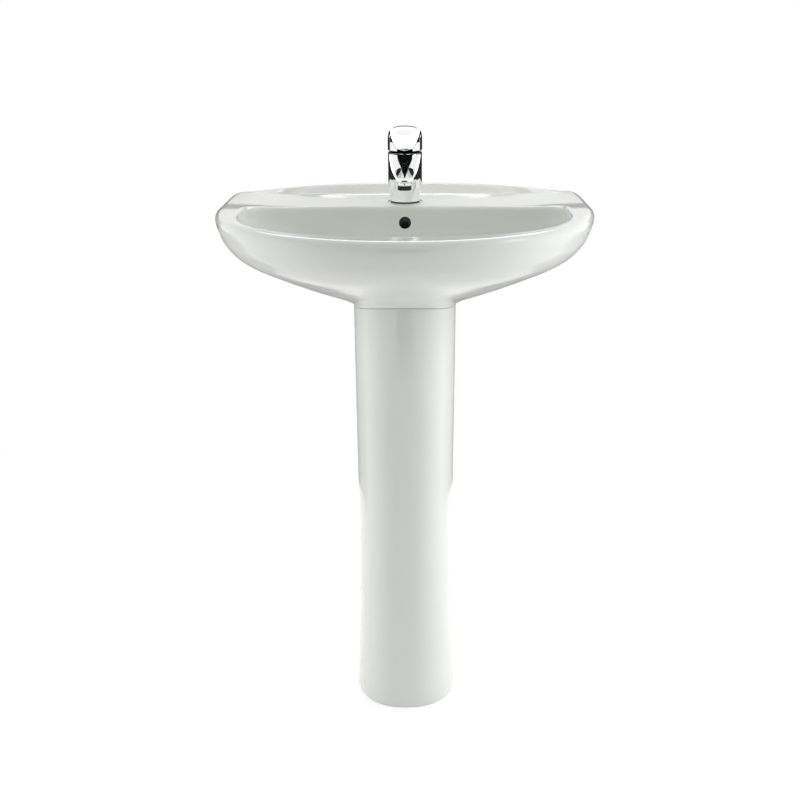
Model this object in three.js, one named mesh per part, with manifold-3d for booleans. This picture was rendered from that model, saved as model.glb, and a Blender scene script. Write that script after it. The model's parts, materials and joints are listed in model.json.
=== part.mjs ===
// Pedestal washbasin with a single-lever mixer tap, a push waste and a bottle trap.
// Millimetres, +Z up, front of the basin towards -Y, wall plane at +Y, floor at Z = 0.
import * as THREE from 'three';
import { mergeVertices } from 'three/addons/utils/BufferGeometryUtils.js';
import Module from 'manifold-3d';

const wasm = await Module();
wasm.setup();

// Clearances shared by all pieces
const FIT = {
  seat: 0.3,
  seam: 0.5,
  running: 0.4,
  ball: 0.1,
  cutOverrun: 4,
  weld: 0.001,
};

// Pedestal: a glazed column, open at the back
const PEDESTAL = {
  topHalfWidth: 82.5,
  waistHalfWidth: 80,
  footHalfWidth: 86.6,
  waistHeight: 350,
  frontY: -62,
  widestY: 40,
  backY: 130,
  wall: 11,
  openingWidth: 104,
  openingDepth: 20,
  seamHeight: 700,
  seamRise: 13,
  footRadius: 7,
};

// Basin: one glazed shell with a deck, a back ledge and an oval bowl
const BASIN = {
  width: 604,
  depth: 480,
  bodyHeight: 150,
  widestY: 85,
  rimRoll: 12,
  backRoll: 6,
  deckFall: 8,
  deckFallStartY: 20,
  deckRise: 5,
  ledgeDepth: 33,
  ledgeRun: 28,
  ledgeRise: 15.7,
  ledgeInset: 36,
  cornerBlend: 110,
  rearReach: 500,
  seamLip: 1.1,
  bossMargin: 8,
  bossRise: 4,
};
const BOWL = {
  sideRim: 46,
  frontRim: 48,
  backDeck: 132,
  widestY: 35,
  lip: 8,
  floorThickness: 28,
  floorRadius: 36,
};
const OVERFLOW = {
  radius: 10,
  drop: 35,
  cutDepth: 36,
  channelRadius: 6,
  casingRadius: 11,
  channelRise: 13,
};
const SERVICE = {
  wall: 14,
  deckThickness: 14,
  sideRim: 110,
  sideRun: 60,
  frontWall: 16,
  frontRun: 16,
};
const WALL_HOLE = {
  radius: 7,
  spacing: 280,
  drop: 68,
};

// Mixer tap
const TAP = {
  wallDistance: 90,
  padRadius: 29,
  padRise: 1,
  padDepth: 10,
  holeRadius: 17.5,
  baseRadius: 24.5,
  bodyRadius: 28,
  flareHeight: 28,
  bodyHeight: 82.6,
  cavityRadius: 18.2,
  nutLedge: 2.8,
  inletRadius: 5.2,
  inletSpacing: 15,
  inletForward: 5,
  inletDepth: 18,
  waterwayRadius: 3,
  sealThickness: 2.5,
  sealInnerRadius: 18.5,
};
const SPOUT = {
  lip: 5.2,
  rootDrop: 1,
  tipThickness: 6.5,
  underside: 45.1,
  rootInset: 2,
  tipHalfWidth: 15,
  waterwayRadius: 4,
};
const AERATOR = {
  reach: 91,
  radius: 11.8,
  wall: 2.2,
  length: 11.5,
  neckInset: 1.5,
  neckLength: 4,
  gridHoleRadius: 1.7,
  gridPitch: 5.2,
  gridThickness: 3,
};
const CARTRIDGE = {
  wall: 3.5,
  floor: 3.6,
  height: 29.5,
  discThickness: 4,
  movingDiscRadius: 11,
  carrierHeight: 16.5,
  pivotRise: 9.8,
  slotLength: 13,
  pinRadius: 1.5,
  portRadius: 3,
  nutHeight: 6.5,
  nutBore: 11.2,
};
const STEM = {
  side: 8,
  neck: 5,
  ballRadius: 3.2,
  pocketPlay: 1.4,
  pocketDepth: 2.2,
};
const LEAN_DEGREES = 12.5;
const LIFT_DEGREES = 25;
const DOME = {
  baseInset: 4.1,
  wall: 1.5,
  mouthRadius: 11.5,
};
const LEVER = {
  capOverhang: 0.4,
  topRise: 41.5,
  shoulderDrop: 18,
  crownCover: 19.5,
  bottomGap: 2.5,
  bottomRise: 1.5,
  shell: 0.8,
  relief: 0.8,
  reach: 76,
  rootInset: 3.4,
  tipHalfWidth: 14.5,
  rootDrop: 3,
  tipTop: 14,
  underside: 9.7,
  screwRadius: 2,
  screwLength: 8,
  screwSocket: 2,
  screwDrop: 5,
  plugRadius: 3.2,
  plugThickness: 2.5,
  plugRecess: 0.86,
};
const FIXING = {
  studRadius: 3.9,
  studOffset: 12,
  studEngagement: 18,
  studTail: 14,
  washerRadius: 24,
  hoseNotchWidth: 20,
  hoseNotchDepth: 5,
  washerThickness: 3,
  nutAcrossCorners: 15,
  nutHeight: 6.5,
};

// Waste with a push-open plug
const WASTE = {
  y: 0,
  seatMargin: 1.5,
  seatDepth: 3,
  holeMargin: 1.7,
  flangeRadius: 31.5,
  flangeThickness: 2.4,
  tubeRadius: 20.9,
  tubeWall: 3.5,
  tubeLength: 70,
  slotHeight: 10,
  slotWidth: 14,
  gasketRadius: 30,
  gasketThickness: 4.5,
  nutRadius: 29,
  nutHeight: 9,
  guideRadius: 6,
  guideHeight: 14,
  guideDrop: 36,
  guideArm: 3,
};
const PLUG = {
  radius: 29,
  thickness: 4,
  crown: 1.6,
  stemRadius: 4,
  stemLength: 56,
  sealOuterRadius: 25,
  sealInnerRadius: 21,
  sealThickness: 1.8,
  springRadius: 6.3,
  springWire: 0.8,
};
const SPRING_TURNS = 7;

// Bottle trap
const TRAP = {
  nutMargin: 6.1,
  nutHeight: 20,
  nutOverlap: 12,
  washerThickness: 2.5,
  dipRadius: 16,
  dipWall: 2,
  dipFlangeInset: 0.4,
  dipFlangeThickness: 3,
  dipClearance: 31,
  bottleRadius: 29,
  bottleWall: 3,
  bottleHeight: 64,
  collarHeight: 11,
  collarRadius: 21,
  cupWall: 3,
  cupDepth: 52,
  cupBevel: 9,
  cupOverlap: 12,
  cupSeal: 2.5,
};
const OUTLET = {
  drop: 22,
  pipeRadius: 16,
  pipeWall: 1.6,
  pipeGap: 9,
  spigotMargin: 4,
  spigotLength: 46,
  nutMargin: 5,
  nutLength: 18,
  nutLip: 2,
  washerLength: 4,
  roseRadius: 33,
  roseDepth: 9,
  roseWall: 1.6,
};

// How finely curves are divided
const STEPS = {
  ring: 60,
  column: 44,
  smooth: 32,
  turned: 24,
  small: 16,
  fine: 10,
  wire: 8,
  bar: 5,
  bands: 4,
  relief: 8,
};

// Places that follow from the sizes
const wallY = BASIN.depth / 2;
const frontY = -wallY;
const halfWidth = BASIN.width / 2;
const rimHeight = PEDESTAL.seamHeight + BASIN.bodyHeight;
const lowDeck = rimHeight - BASIN.deckFall;
const ledgeY = wallY - BASIN.ledgeDepth;
const bowlBackY = wallY - BOWL.backDeck;
const deckFrontY = bowlBackY + BOWL.lip;
const bowlFloor = PEDESTAL.seamHeight + BOWL.floorThickness;
const deckUnder = lowDeck - SERVICE.deckThickness;
const overflowHeight = rimHeight - OVERFLOW.drop;
const channelHeight = PEDESTAL.seamHeight + OVERFLOW.channelRise;
const wasteHoleRadius = WASTE.tubeRadius + WASTE.holeMargin;
const tubeBore = WASTE.tubeRadius - WASTE.tubeWall;

// Mesh and solid helpers

function bare(geometry) {
  const positions = geometry.clone();
  for (const name of Object.keys(positions.attributes)) {
    if (name !== 'position') positions.deleteAttribute(name);
  }
  const merged = mergeVertices(positions, FIT.weld);
  const source = merged.index.array;
  const kept = [];
  for (let i = 0; i < source.length; i += 3) {
    const [a, b, c] = [source[i], source[i + 1], source[i + 2]];
    if (a !== b && b !== c && c !== a) kept.push(a, b, c);
  }
  const result = new THREE.BufferGeometry();
  result.setAttribute('position', merged.attributes.position);
  result.setIndex(volume(merged.attributes.position, kept) < 0 ? flipped(kept) : kept);
  return result;
}

function volume(position, index) {
  const [a, b, c] = [new THREE.Vector3(), new THREE.Vector3(), new THREE.Vector3()];
  let total = 0;
  for (let i = 0; i < index.length; i += 3) {
    a.fromBufferAttribute(position, index[i]);
    b.fromBufferAttribute(position, index[i + 1]);
    c.fromBufferAttribute(position, index[i + 2]);
    total += a.dot(b.cross(c));
  }
  return total;
}

function flipped(index) {
  const result = index.slice();
  for (let i = 0; i < result.length; i += 3) {
    [result[i + 1], result[i + 2]] = [result[i + 2], result[i + 1]];
  }
  return result;
}

function solid(geometry) {
  const clean = bare(geometry);
  const vertProperties = new Float32Array(clean.attributes.position.array);
  const triVerts = new Uint32Array(clean.index.array);
  return new wasm.Manifold(new wasm.Mesh({ numProp: 3, vertProperties, triVerts }));
}

function geometryOf(body) {
  const mesh = body.getMesh();
  const result = new THREE.BufferGeometry();
  result.setAttribute('position', new THREE.BufferAttribute(new Float32Array(mesh.vertProperties), 3));
  result.setIndex(new THREE.BufferAttribute(new Uint32Array(mesh.triVerts), 1));
  result.computeVertexNormals();
  return result;
}

// A solid through rings of [x, y, z] points, closed by a cap at each end or joined into a loop.
function loft(rings, looped = false) {
  const count = rings[0].length;
  const positions = rings.flat(2);
  const index = [];
  const strips = looped ? rings.length : rings.length - 1;
  for (let r = 0; r < strips; r += 1) {
    const next = ((r + 1) % rings.length) * count;
    for (let i = 0; i < count; i += 1) {
      const j = (i + 1) % count;
      index.push(r * count + i, r * count + j, next + j, r * count + i, next + j, next + i);
    }
  }
  for (const r of looped ? [] : [0, rings.length - 1]) {
    const outline = rings[r].map(([x, y]) => new THREE.Vector2(x, y));
    for (const [a, b, c] of THREE.ShapeUtils.triangulateShape(outline, [])) {
      const base = r * count;
      if (r === 0) index.push(base + a, base + c, base + b);
      else index.push(base + a, base + b, base + c);
    }
  }
  const result = new THREE.BufferGeometry();
  result.setAttribute('position', new THREE.Float32BufferAttribute(positions, 3));
  result.setIndex(index);
  return result;
}

// A turned solid about Z from [radius, z] points.
function turned(points, steps = STEPS.turned) {
  const profile = points.map(([r, z]) => new THREE.Vector2(r, z));
  profile.push(profile[0].clone());
  return new THREE.LatheGeometry(profile, steps).rotateX(Math.PI / 2);
}

function disc(radius, low, high, steps = STEPS.turned) {
  return turned([[0, low], [radius, low], [radius, high], [0, high]], steps);
}

function tubeRing(outer, inner, low, high, steps = STEPS.turned) {
  return turned([[inner, low], [outer, low], [outer, high], [inner, high]], steps);
}

// A solid of even section along Z from a flat shape.
function prism(shape, low, high, curveSegments = STEPS.fine) {
  const settings = { depth: high - low, bevelEnabled: false, curveSegments };
  return new THREE.ExtrudeGeometry(shape, settings).translate(0, 0, low);
}

function block(sizeX, sizeY, low, high) {
  return new THREE.BoxGeometry(sizeX, sizeY, high - low).translate(0, 0, (low + high) / 2);
}

function hexagon(acrossCorners, holeRadius) {
  const corner = acrossCorners / 2;
  const points = [0, 1, 2, 3, 4, 5].map((i) => {
    const angle = (i * Math.PI) / 3;
    return new THREE.Vector2(corner * Math.cos(angle), corner * Math.sin(angle));
  });
  const shape = new THREE.Shape(points);
  if (holeRadius > 0) {
    shape.holes.push(new THREE.Path().absarc(0, 0, holeRadius, 0, 2 * Math.PI, true));
  }
  return shape;
}

// A round bar along a smooth curve.
function bar(points, radius, steps, sides) {
  const curve = new THREE.CatmullRomCurve3(points.map((p) => new THREE.Vector3(...p)));
  const section = new THREE.Shape().absarc(0, 0, radius, 0, 2 * Math.PI);
  const settings = { steps, extrudePath: curve, bevelEnabled: false, curveSegments: sides };
  return new THREE.ExtrudeGeometry(section, settings);
}

function lie(geometry) {
  return geometry.rotateX(-Math.PI / 2);
}

// Plan curves and heights of the basin

const smooth = (t) => {
  const u = Math.min(Math.max(t, 0), 1);
  return u * u * (3 - 2 * u);
};
const lerp = THREE.MathUtils.lerp;

function softMin(value, limit, blend) {
  const h = Math.max(blend - Math.abs(value - limit), 0) / blend;
  return Math.min(value, limit) - (h * h * blend) / 4;
}

// One point of an oval at the angle given. A corner share of 0 is an ellipse, and 1 a rectangle.
function ovalPoint(angle, oval) {
  const c = Math.cos(angle);
  const s = Math.sin(angle);
  const power = 1 - (s < 0 ? oval.frontShare : oval.backShare);
  const reach = s < 0 ? oval.centreY - oval.front : oval.back - oval.centreY;
  const x = oval.halfWidth * Math.sign(c) * Math.abs(c) ** power;
  const y = oval.centreY + reach * Math.sign(s) * Math.abs(s) ** power;
  return [x, oval.limit === undefined ? y : softMin(y, oval.limit, oval.blend)];
}

function angles(count) {
  return Array.from({ length: count }, (_, i) => (2 * Math.PI * i) / count);
}

// Corner shares of the plan curves
const SEAM_SHARES = { front: 0.145, back: 0.556 };
const RIM_SHARES = { front: 0.065, back: 0.47 };
const BOWL_EDGE_SHARES = { front: 0.2, back: 0.375 };
const HOLLOW_SHARE = 0.714;
const SPOUT_CORNER_SHARE = 0.412;
const LEVER_CORNER_SHARE = 0.375;

// How the ledge arches to its ends, the bowl closes to its floor and the column flares to its foot
const LEDGE_POWER = 2.4;
const BOWL_POWERS = { side: 2.2, sideRound: 2 / 3, back: 3, backRound: 0.5 };
const FOOT_POWER = 1.8;

// Height of the rim, deck and back ledge above the floor.
function topHeight(x, y) {
  const fallLength = deckFrontY - BASIN.deckFallStartY;
  let z = rimHeight - BASIN.deckFall * smooth((y - BASIN.deckFallStartY) / fallLength);
  if (y > deckFrontY) {
    const along = Math.min((y - deckFrontY) / (ledgeY - deckFrontY), 1);
    z = lowDeck + BASIN.deckRise * along;
  }
  const arch = Math.max(1 - Math.abs(x / (halfWidth - BASIN.ledgeInset)) ** LEDGE_POWER, 0);
  return z + BASIN.ledgeRise * arch * smooth((y - ledgeY) / BASIN.ledgeRun);
}

// Height of the joint between basin and pedestal, higher at the front.
function seamHeight(angle) {
  const forward = Math.max(-Math.sin(angle), 0);
  return PEDESTAL.seamHeight + PEDESTAL.seamRise * forward * forward;
}

// Outer face from the rim's edge to the pedestal: [share of reach, share of fall].
const OUTER_SHARES = [
  [1, 0.08], [0.993, 0.14], [0.976, 0.207], [0.952, 0.287], [0.916, 0.357], [0.87, 0.42], [0.812, 0.472],
  [0.742, 0.52], [0.668, 0.565], [0.585, 0.615], [0.493, 0.668], [0.401, 0.72], [0.309, 0.768],
  [0.217, 0.815], [0.124, 0.867], [0.065, 0.923], [0.018, 0.975], [0, 1],
];
const ROLL_SHARES = [0.25, 0.6, 0.88];
const DECK_SHARES = [0, 0.35, 0.77, 0.84, 0.92, 1];
const BOWL_SHARES = [1, 0.985, 0.95, 0.9, 0.82, 0.72, 0.6, 0.45, 0.3, 0.15, 0];
const LIP_SHARES = [0.53, 0.79];
const FADE_SHARES = { deck: 0.5, seamStart: 0.005, seamEnd: 0.125 };

function outerOval(reachShare, inset) {
  const narrow = PEDESTAL.topHalfWidth + BASIN.seamLip;
  return {
    halfWidth: lerp(narrow, halfWidth, reachShare) - inset,
    centreY: lerp(PEDESTAL.widestY, BASIN.widestY, reachShare),
    front: lerp(PEDESTAL.frontY - BASIN.seamLip, frontY, reachShare) + inset,
    back: lerp(PEDESTAL.backY + BASIN.seamLip, BASIN.rearReach, reachShare),
    frontShare: lerp(SEAM_SHARES.front, RIM_SHARES.front, reachShare),
    backShare: lerp(SEAM_SHARES.back, RIM_SHARES.back, reachShare),
    limit: wallY - Math.min(inset, BASIN.backRoll),
    blend: BASIN.cornerBlend,
  };
}

function bowlOval(outset, wide, back) {
  return {
    halfWidth: lerp(BOWL.floorRadius, halfWidth - BOWL.sideRim, wide) + outset,
    centreY: lerp(WASTE.y, BOWL.widestY, wide),
    front: lerp(WASTE.y - BOWL.floorRadius, frontY + BOWL.frontRim, wide) - outset,
    back: lerp(WASTE.y + BOWL.floorRadius, bowlBackY, back) + outset,
    frontShare: BOWL_EDGE_SHARES.front * wide,
    backShare: BOWL_EDGE_SHARES.back * wide,
  };
}

function bowlRing(depthShare) {
  const wide = (1 - depthShare ** BOWL_POWERS.side) ** BOWL_POWERS.sideRound;
  const back = (1 - depthShare ** BOWL_POWERS.back) ** BOWL_POWERS.backRound;
  return angles(STEPS.ring).map((angle) => {
    const [x, y] = ovalPoint(angle, bowlOval(0, wide, back));
    const edge = topHeight(x, y) - BOWL.lip;
    const falling = (edge - lowDeck + BOWL.lip) * (1 - depthShare);
    return [x, y, lerp(lowDeck - BOWL.lip, bowlFloor, depthShare) + falling];
  });
}

function lipRing(turnShare) {
  const turn = (turnShare * Math.PI) / 2;
  return angles(STEPS.ring).map((angle) => {
    const [x, y] = ovalPoint(angle, bowlOval(BOWL.lip * (1 - Math.cos(turn)), 1, 1));
    return [x, y, topHeight(x, y) - BOWL.lip * (1 - Math.sin(turn))];
  });
}

function deckRing(outShare) {
  return angles(STEPS.ring).map((angle) => {
    const [innerX, innerY] = ovalPoint(angle, bowlOval(BOWL.lip, 1, 1));
    const [outerX, outerY] = ovalPoint(angle, outerOval(1, BASIN.rimRoll));
    const [x, y] = [lerp(innerX, outerX, outShare), lerp(innerY, outerY, outShare)];
    return [x, y, topHeight(x, y)];
  });
}

function rollRing(turnShare) {
  const turn = (turnShare * Math.PI) / 2;
  const fall = BASIN.bodyHeight * OUTER_SHARES[0][1];
  return angles(STEPS.ring).map((angle) => {
    const [x, y] = ovalPoint(angle, outerOval(1, BASIN.rimRoll * (1 - Math.sin(turn))));
    return [x, y, topHeight(x, y) - fall * (1 - Math.cos(turn))];
  });
}

function outerRing([reachShare, fallShare]) {
  const { deck, seamStart, seamEnd } = FADE_SHARES;
  const nearSeam = 1 - smooth((reachShare - seamStart) / (seamEnd - seamStart));
  return angles(STEPS.ring).map((angle) => {
    const [x, y] = ovalPoint(angle, outerOval(reachShare, 0));
    const level = rimHeight - BASIN.bodyHeight * fallShare;
    const fading = (topHeight(x, y) - rimHeight) * (1 - smooth(fallShare / deck));
    return [x, y, level + fading + (seamHeight(angle) - PEDESTAL.seamHeight) * nearSeam];
  });
}

// Bowl, lip, deck, rolled rim and outer face, then the joint face and the flat boss round the waste.
function basinRings() {
  const joint = pedestalOval(1, PEDESTAL.wall + FIT.seam);
  const bossRadius = WASTE.gasketRadius + BASIN.bossMargin;
  const boss = {
    halfWidth: bossRadius,
    centreY: WASTE.y,
    front: WASTE.y - bossRadius,
    back: WASTE.y + bossRadius,
    frontShare: 0,
    backShare: 0,
  };
  return [
    ...BOWL_SHARES.map(bowlRing),
    ...LIP_SHARES.map(lipRing),
    ...DECK_SHARES.map(deckRing),
    ...ROLL_SHARES.map(rollRing),
    ...OUTER_SHARES.map(outerRing),
    angles(STEPS.ring).map((angle) => [...ovalPoint(angle, joint), seamHeight(angle)]),
    angles(STEPS.ring).map((angle) => [...ovalPoint(angle, boss), PEDESTAL.seamHeight + BASIN.bossRise]),
  ];
}

// Pedestal plan at a height share from the floor to the top, taken in by a wall.
function pedestalOval(heightShare, inset) {
  const height = heightShare * PEDESTAL.seamHeight;
  const above = Math.max(height - PEDESTAL.waistHeight, 0) / (PEDESTAL.seamHeight - PEDESTAL.waistHeight);
  const below = Math.max(PEDESTAL.waistHeight - height, 0) / PEDESTAL.waistHeight;
  const upper = (PEDESTAL.topHalfWidth - PEDESTAL.waistHalfWidth) * above;
  const lower = (PEDESTAL.footHalfWidth - PEDESTAL.waistHalfWidth) * below ** FOOT_POWER;
  return {
    halfWidth: PEDESTAL.waistHalfWidth + upper + lower - inset,
    centreY: PEDESTAL.widestY,
    front: PEDESTAL.frontY + inset,
    back: PEDESTAL.backY - inset,
    frontShare: SEAM_SHARES.front,
    backShare: SEAM_SHARES.back,
  };
}

// Overflow channel: [share of the way forward to the waste, share of the fall].
const CHANNEL_SHARES = [[0, 0], [-0.04, 0.2], [0, 0.54], [0.195, 0.85], [0.55, 1], [1, 1]];

function overflowPath() {
  const start = bowlBackY + OVERFLOW.channelRadius;
  const end = WASTE.y + wasteHoleRadius - OVERFLOW.channelRadius;
  return CHANNEL_SHARES.map(([forwardShare, fallShare]) => [
    0,
    lerp(start, end, forwardShare),
    lerp(overflowHeight, channelHeight, fallShare),
  ]);
}

// Hollow behind the bowl, open below: [share of the height, share of the widening].
const SERVICE_SHARES = [[0, 0], [0.28, 0], [0.67, 1], [1, 1]];

function serviceHollow() {
  const low = PEDESTAL.seamHeight - FIT.cutOverrun;
  const rings = SERVICE_SHARES.map(([upShare, wideShare]) => {
    const front = bowlBackY + SERVICE.frontWall - lerp(SERVICE.frontRun, 0, wideShare);
    const back = wallY - SERVICE.wall;
    const oval = {
      halfWidth: halfWidth - SERVICE.sideRim - lerp(SERVICE.sideRun, 0, wideShare),
      centreY: (front + back) / 2,
      front,
      back,
      frontShare: HOLLOW_SHARE,
      backShare: HOLLOW_SHARE,
    };
    return angles(STEPS.small).map((angle) => [...ovalPoint(angle, oval), lerp(low, deckUnder, upShare)]);
  });
  return solid(loft(rings));
}

function makeBasin() {
  const path = overflowPath();
  const casing = solid(bar(path, OVERFLOW.casingRadius, STEPS.small, STEPS.bar));
  const channel = solid(bar(path, OVERFLOW.channelRadius, STEPS.small, STEPS.bands));
  const cleared = block(BASIN.width, BASIN.depth, 0, bowlFloor);
  const plateEdge = solid(cleared.translate(0, PEDESTAL.backY + BASIN.seamLip + wallY, 0));
  const pad = solid(disc(TAP.padRadius, padHeight - TAP.padDepth, padHeight).translate(0, tapY, 0));
  const padClear = solid(disc(TAP.padRadius, padHeight, padHeight + FIT.cutOverrun).translate(0, tapY, 0));
  const tapHole = disc(TAP.holeRadius, deckUnder - FIT.cutOverrun, padHeight + FIT.cutOverrun);
  const holeEnd = path[0][1] + OVERFLOW.channelRadius / 2;
  const overflowHole = lie(disc(OVERFLOW.radius, bowlBackY - OVERFLOW.cutDepth, holeEnd, STEPS.small));
  const seatTop = bowlFloor + FIT.cutOverrun;
  const seat = disc(WASTE.flangeRadius + WASTE.seatMargin, bowlFloor - WASTE.seatDepth, seatTop);
  const drain = disc(wasteHoleRadius, PEDESTAL.seamHeight - FIT.cutOverrun, seatTop);
  let body = solid(loft(basinRings()));
  body = body.subtract(serviceHollow().subtract(casing)).subtract(plateEdge);
  body = body.add(pad).subtract(padClear);
  body = body.subtract(solid(tapHole.translate(0, tapY, 0)));
  body = body.subtract(solid(overflowHole.translate(0, 0, overflowHeight)));
  body = body.subtract(channel);
  body = body.subtract(solid(seat.translate(0, WASTE.y, 0)));
  body = body.subtract(solid(drain.translate(0, WASTE.y, 0)));
  for (const side of [-1, 1]) {
    const hole = lie(disc(WALL_HOLE.radius, wallY - 2 * SERVICE.wall, wallY + FIT.cutOverrun, STEPS.small));
    const place = [(side * WALL_HOLE.spacing) / 2, 0, rimHeight - WALL_HOLE.drop];
    body = body.subtract(solid(hole.translate(...place)));
  }
  return geometryOf(body);
}

// Foot edge: [share of its radius taken in, share of its radius up], then ring heights as shares.
const FOOT_SHARES = [[0.6, 0], [0.15, 0.5], [0, 1.6]];
const COLUMN_SHARES = [0.05, 0.15, 0.28, 0.42, 0.56, 0.7, 0.85];
const INSIDE_SHARES = [0.56, 0.28, 0];

function makePedestal() {
  const turn = angles(STEPS.column);
  const ring = (oval, height) => turn.map((angle) => [...ovalPoint(angle, oval), height]);
  const topRing = (oval) => turn.map((angle) => [...ovalPoint(angle, oval), seamHeight(angle) - FIT.seam]);
  const rings = [
    ...FOOT_SHARES.map(([inShare, upShare]) => (
      ring(pedestalOval(0, PEDESTAL.footRadius * inShare), PEDESTAL.footRadius * upShare)
    )),
    ...COLUMN_SHARES.map((share) => ring(pedestalOval(share, 0), share * PEDESTAL.seamHeight)),
    topRing(pedestalOval(1, 0)),
    topRing(pedestalOval(1, PEDESTAL.wall)),
    ...INSIDE_SHARES.map((share) => ring(pedestalOval(share, PEDESTAL.wall), share * PEDESTAL.seamHeight)),
  ];
  const high = PEDESTAL.seamHeight + PEDESTAL.seamRise + FIT.cutOverrun;
  const gap = block(PEDESTAL.openingWidth, PEDESTAL.openingDepth + FIT.cutOverrun, -FIT.cutOverrun, high);
  const opening = gap.translate(0, PEDESTAL.backY + (FIT.cutOverrun - PEDESTAL.openingDepth) / 2, 0);
  return geometryOf(solid(loft(rings, true)).subtract(solid(opening)));
}

// Levels and places of the tap, which stands on a low round pad of the deck

const tapY = wallY - TAP.wallDistance;
const padHeight = lowDeck + TAP.padRise;
const tapBase = padHeight + TAP.sealThickness + FIT.seat;
const tapTop = padHeight + TAP.bodyHeight;
const cavityFloor = tapTop - CARTRIDGE.nutHeight - CARTRIDGE.height - 2 * FIT.seat;
const nutCavityRadius = TAP.cavityRadius + TAP.nutLedge;
const housingRadius = TAP.cavityRadius - FIT.running;
const housingBore = housingRadius - CARTRIDGE.wall;
const housingFloor = cavityFloor + FIT.seat;
const discLow = housingFloor + CARTRIDGE.floor + FIT.seat;
const movingDiscLow = discLow + CARTRIDGE.discThickness + FIT.seat;
const movingDiscTop = movingDiscLow + CARTRIDGE.discThickness;
const carrierLow = movingDiscTop + FIT.seat;
const pivotHeight = carrierLow + CARTRIDGE.pivotRise;
const lowerArm = pivotHeight - movingDiscTop + STEM.pocketDepth - FIT.ball - STEM.ballRadius;
const upperArm = tapTop + LEVER.topRise - LEVER.crownCover - pivotHeight;
const leanAngle = THREE.MathUtils.degToRad(LEAN_DEGREES);
const capRadius = TAP.bodyRadius + LEVER.capOverhang;
const screwHeight = upperArm - LEVER.screwDrop;
const capReach = (capRadius + screwHeight * Math.sin(leanAngle)) / Math.cos(leanAngle);
const screwPlugStart = capReach - LEVER.plugRecess - LEVER.plugThickness;
const aeratorTop = padHeight + SPOUT.underside - FIT.seat;
const aeratorLow = aeratorTop - AERATOR.length;
const aeratorBore = AERATOR.radius - AERATOR.wall;
const aeratorNeck = AERATOR.radius - AERATOR.neckInset;

// Rings across Y, lofted forward from the tap's axis, from [forward, half width, low, high].
function tongue(stations, cornerShare) {
  const rings = stations.map(([forward, half, low, high]) => {
    const oval = {
      halfWidth: half,
      centreY: (low + high) / 2,
      front: low,
      back: high,
      frontShare: cornerShare,
      backShare: cornerShare,
    };
    return angles(STEPS.small).map((angle) => [...ovalPoint(angle, oval), forward]);
  });
  return solid(loft(rings).rotateX(Math.PI / 2));
}

// Spout: [share of the reach, share of the narrowing, share of the fall]. The tip rounds off at the end.
const SPOUT_SHARES = [
  [0, 0, 0], [0.26, 0.02, 0], [0.55, 0.25, 0.39], [0.8, 0.62, 0.73], [0.92, 1, 0.89], [0.975, 1.35, 0.97],
  [1, 1.8, 1],
];
const FLARE_SHARES = { out: 0.65, up: 0.5 };

function spoutTongue() {
  const reach = AERATOR.reach + AERATOR.radius + SPOUT.lip;
  const rootTop = tapTop - SPOUT.rootDrop;
  const underside = padHeight + SPOUT.underside;
  const stations = SPOUT_SHARES.map(([alongShare, taperShare, fallShare]) => [
    alongShare * reach,
    lerp(TAP.bodyRadius - SPOUT.rootInset, SPOUT.tipHalfWidth, taperShare),
    underside,
    lerp(rootTop, underside + SPOUT.tipThickness, fallShare),
  ]);
  return tongue(stations, SPOUT_CORNER_SHARE);
}

function makeTapBody() {
  const flare = tapBase + TAP.flareHeight;
  const midRadius = lerp(TAP.baseRadius, TAP.bodyRadius, FLARE_SHARES.out);
  const midHeight = lerp(tapBase, flare, FLARE_SHARES.up);
  const profile = [
    [0, tapBase], [TAP.baseRadius, tapBase], [midRadius, midHeight],
    [TAP.bodyRadius, flare], [TAP.bodyRadius, tapTop], [0, tapTop],
  ];
  const nutSeat = tapTop - CARTRIDGE.nutHeight - FIT.seam;
  let body = solid(turned(profile, STEPS.smooth)).add(spoutTongue());
  body = body.subtract(solid(disc(TAP.cavityRadius, cavityFloor, tapTop + FIT.cutOverrun)));
  body = body.subtract(solid(disc(nutCavityRadius, nutSeat, tapTop + FIT.cutOverrun)));
  for (const side of [-1, 1]) {
    const [x, y] = [(side * TAP.inletSpacing) / 2, -TAP.inletForward];
    const threaded = disc(TAP.inletRadius, tapBase - FIT.cutOverrun, tapBase + TAP.inletDepth, STEPS.small);
    const narrow = disc(TAP.waterwayRadius, tapBase, cavityFloor + FIT.cutOverrun, STEPS.fine);
    body = body.subtract(solid(threaded.translate(x, y, 0))).subtract(solid(narrow.translate(x, y, 0)));
  }
  const studTop = tapBase + FIXING.studEngagement;
  const studHole = disc(FIXING.studRadius + FIT.seat, tapBase - FIT.cutOverrun, studTop, STEPS.small);
  body = body.subtract(solid(studHole.translate(0, FIXING.studOffset, 0)));
  const neckTop = aeratorTop + AERATOR.neckLength + 2 * FIT.seat;
  const neck = disc(aeratorNeck + FIT.seat, padHeight, neckTop, STEPS.small);
  body = body.subtract(solid(neck.translate(0, -AERATOR.reach, 0)));
  const start = [0, -TAP.cavityRadius / 2, cavityFloor + CARTRIDGE.floor + SPOUT.waterwayRadius];
  const end = [0, -AERATOR.reach, neckTop];
  body = body.subtract(solid(bar([start, end], SPOUT.waterwayRadius, 1, STEPS.bands)));
  return geometryOf(body);
}

function makeAeratorHousing() {
  const neckTop = aeratorTop + AERATOR.neckLength;
  return bare(turned([
    [aeratorBore, aeratorLow], [AERATOR.radius, aeratorLow], [AERATOR.radius, aeratorTop],
    [aeratorNeck, aeratorTop], [aeratorNeck, neckTop], [aeratorBore, neckTop],
  ]));
}

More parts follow.
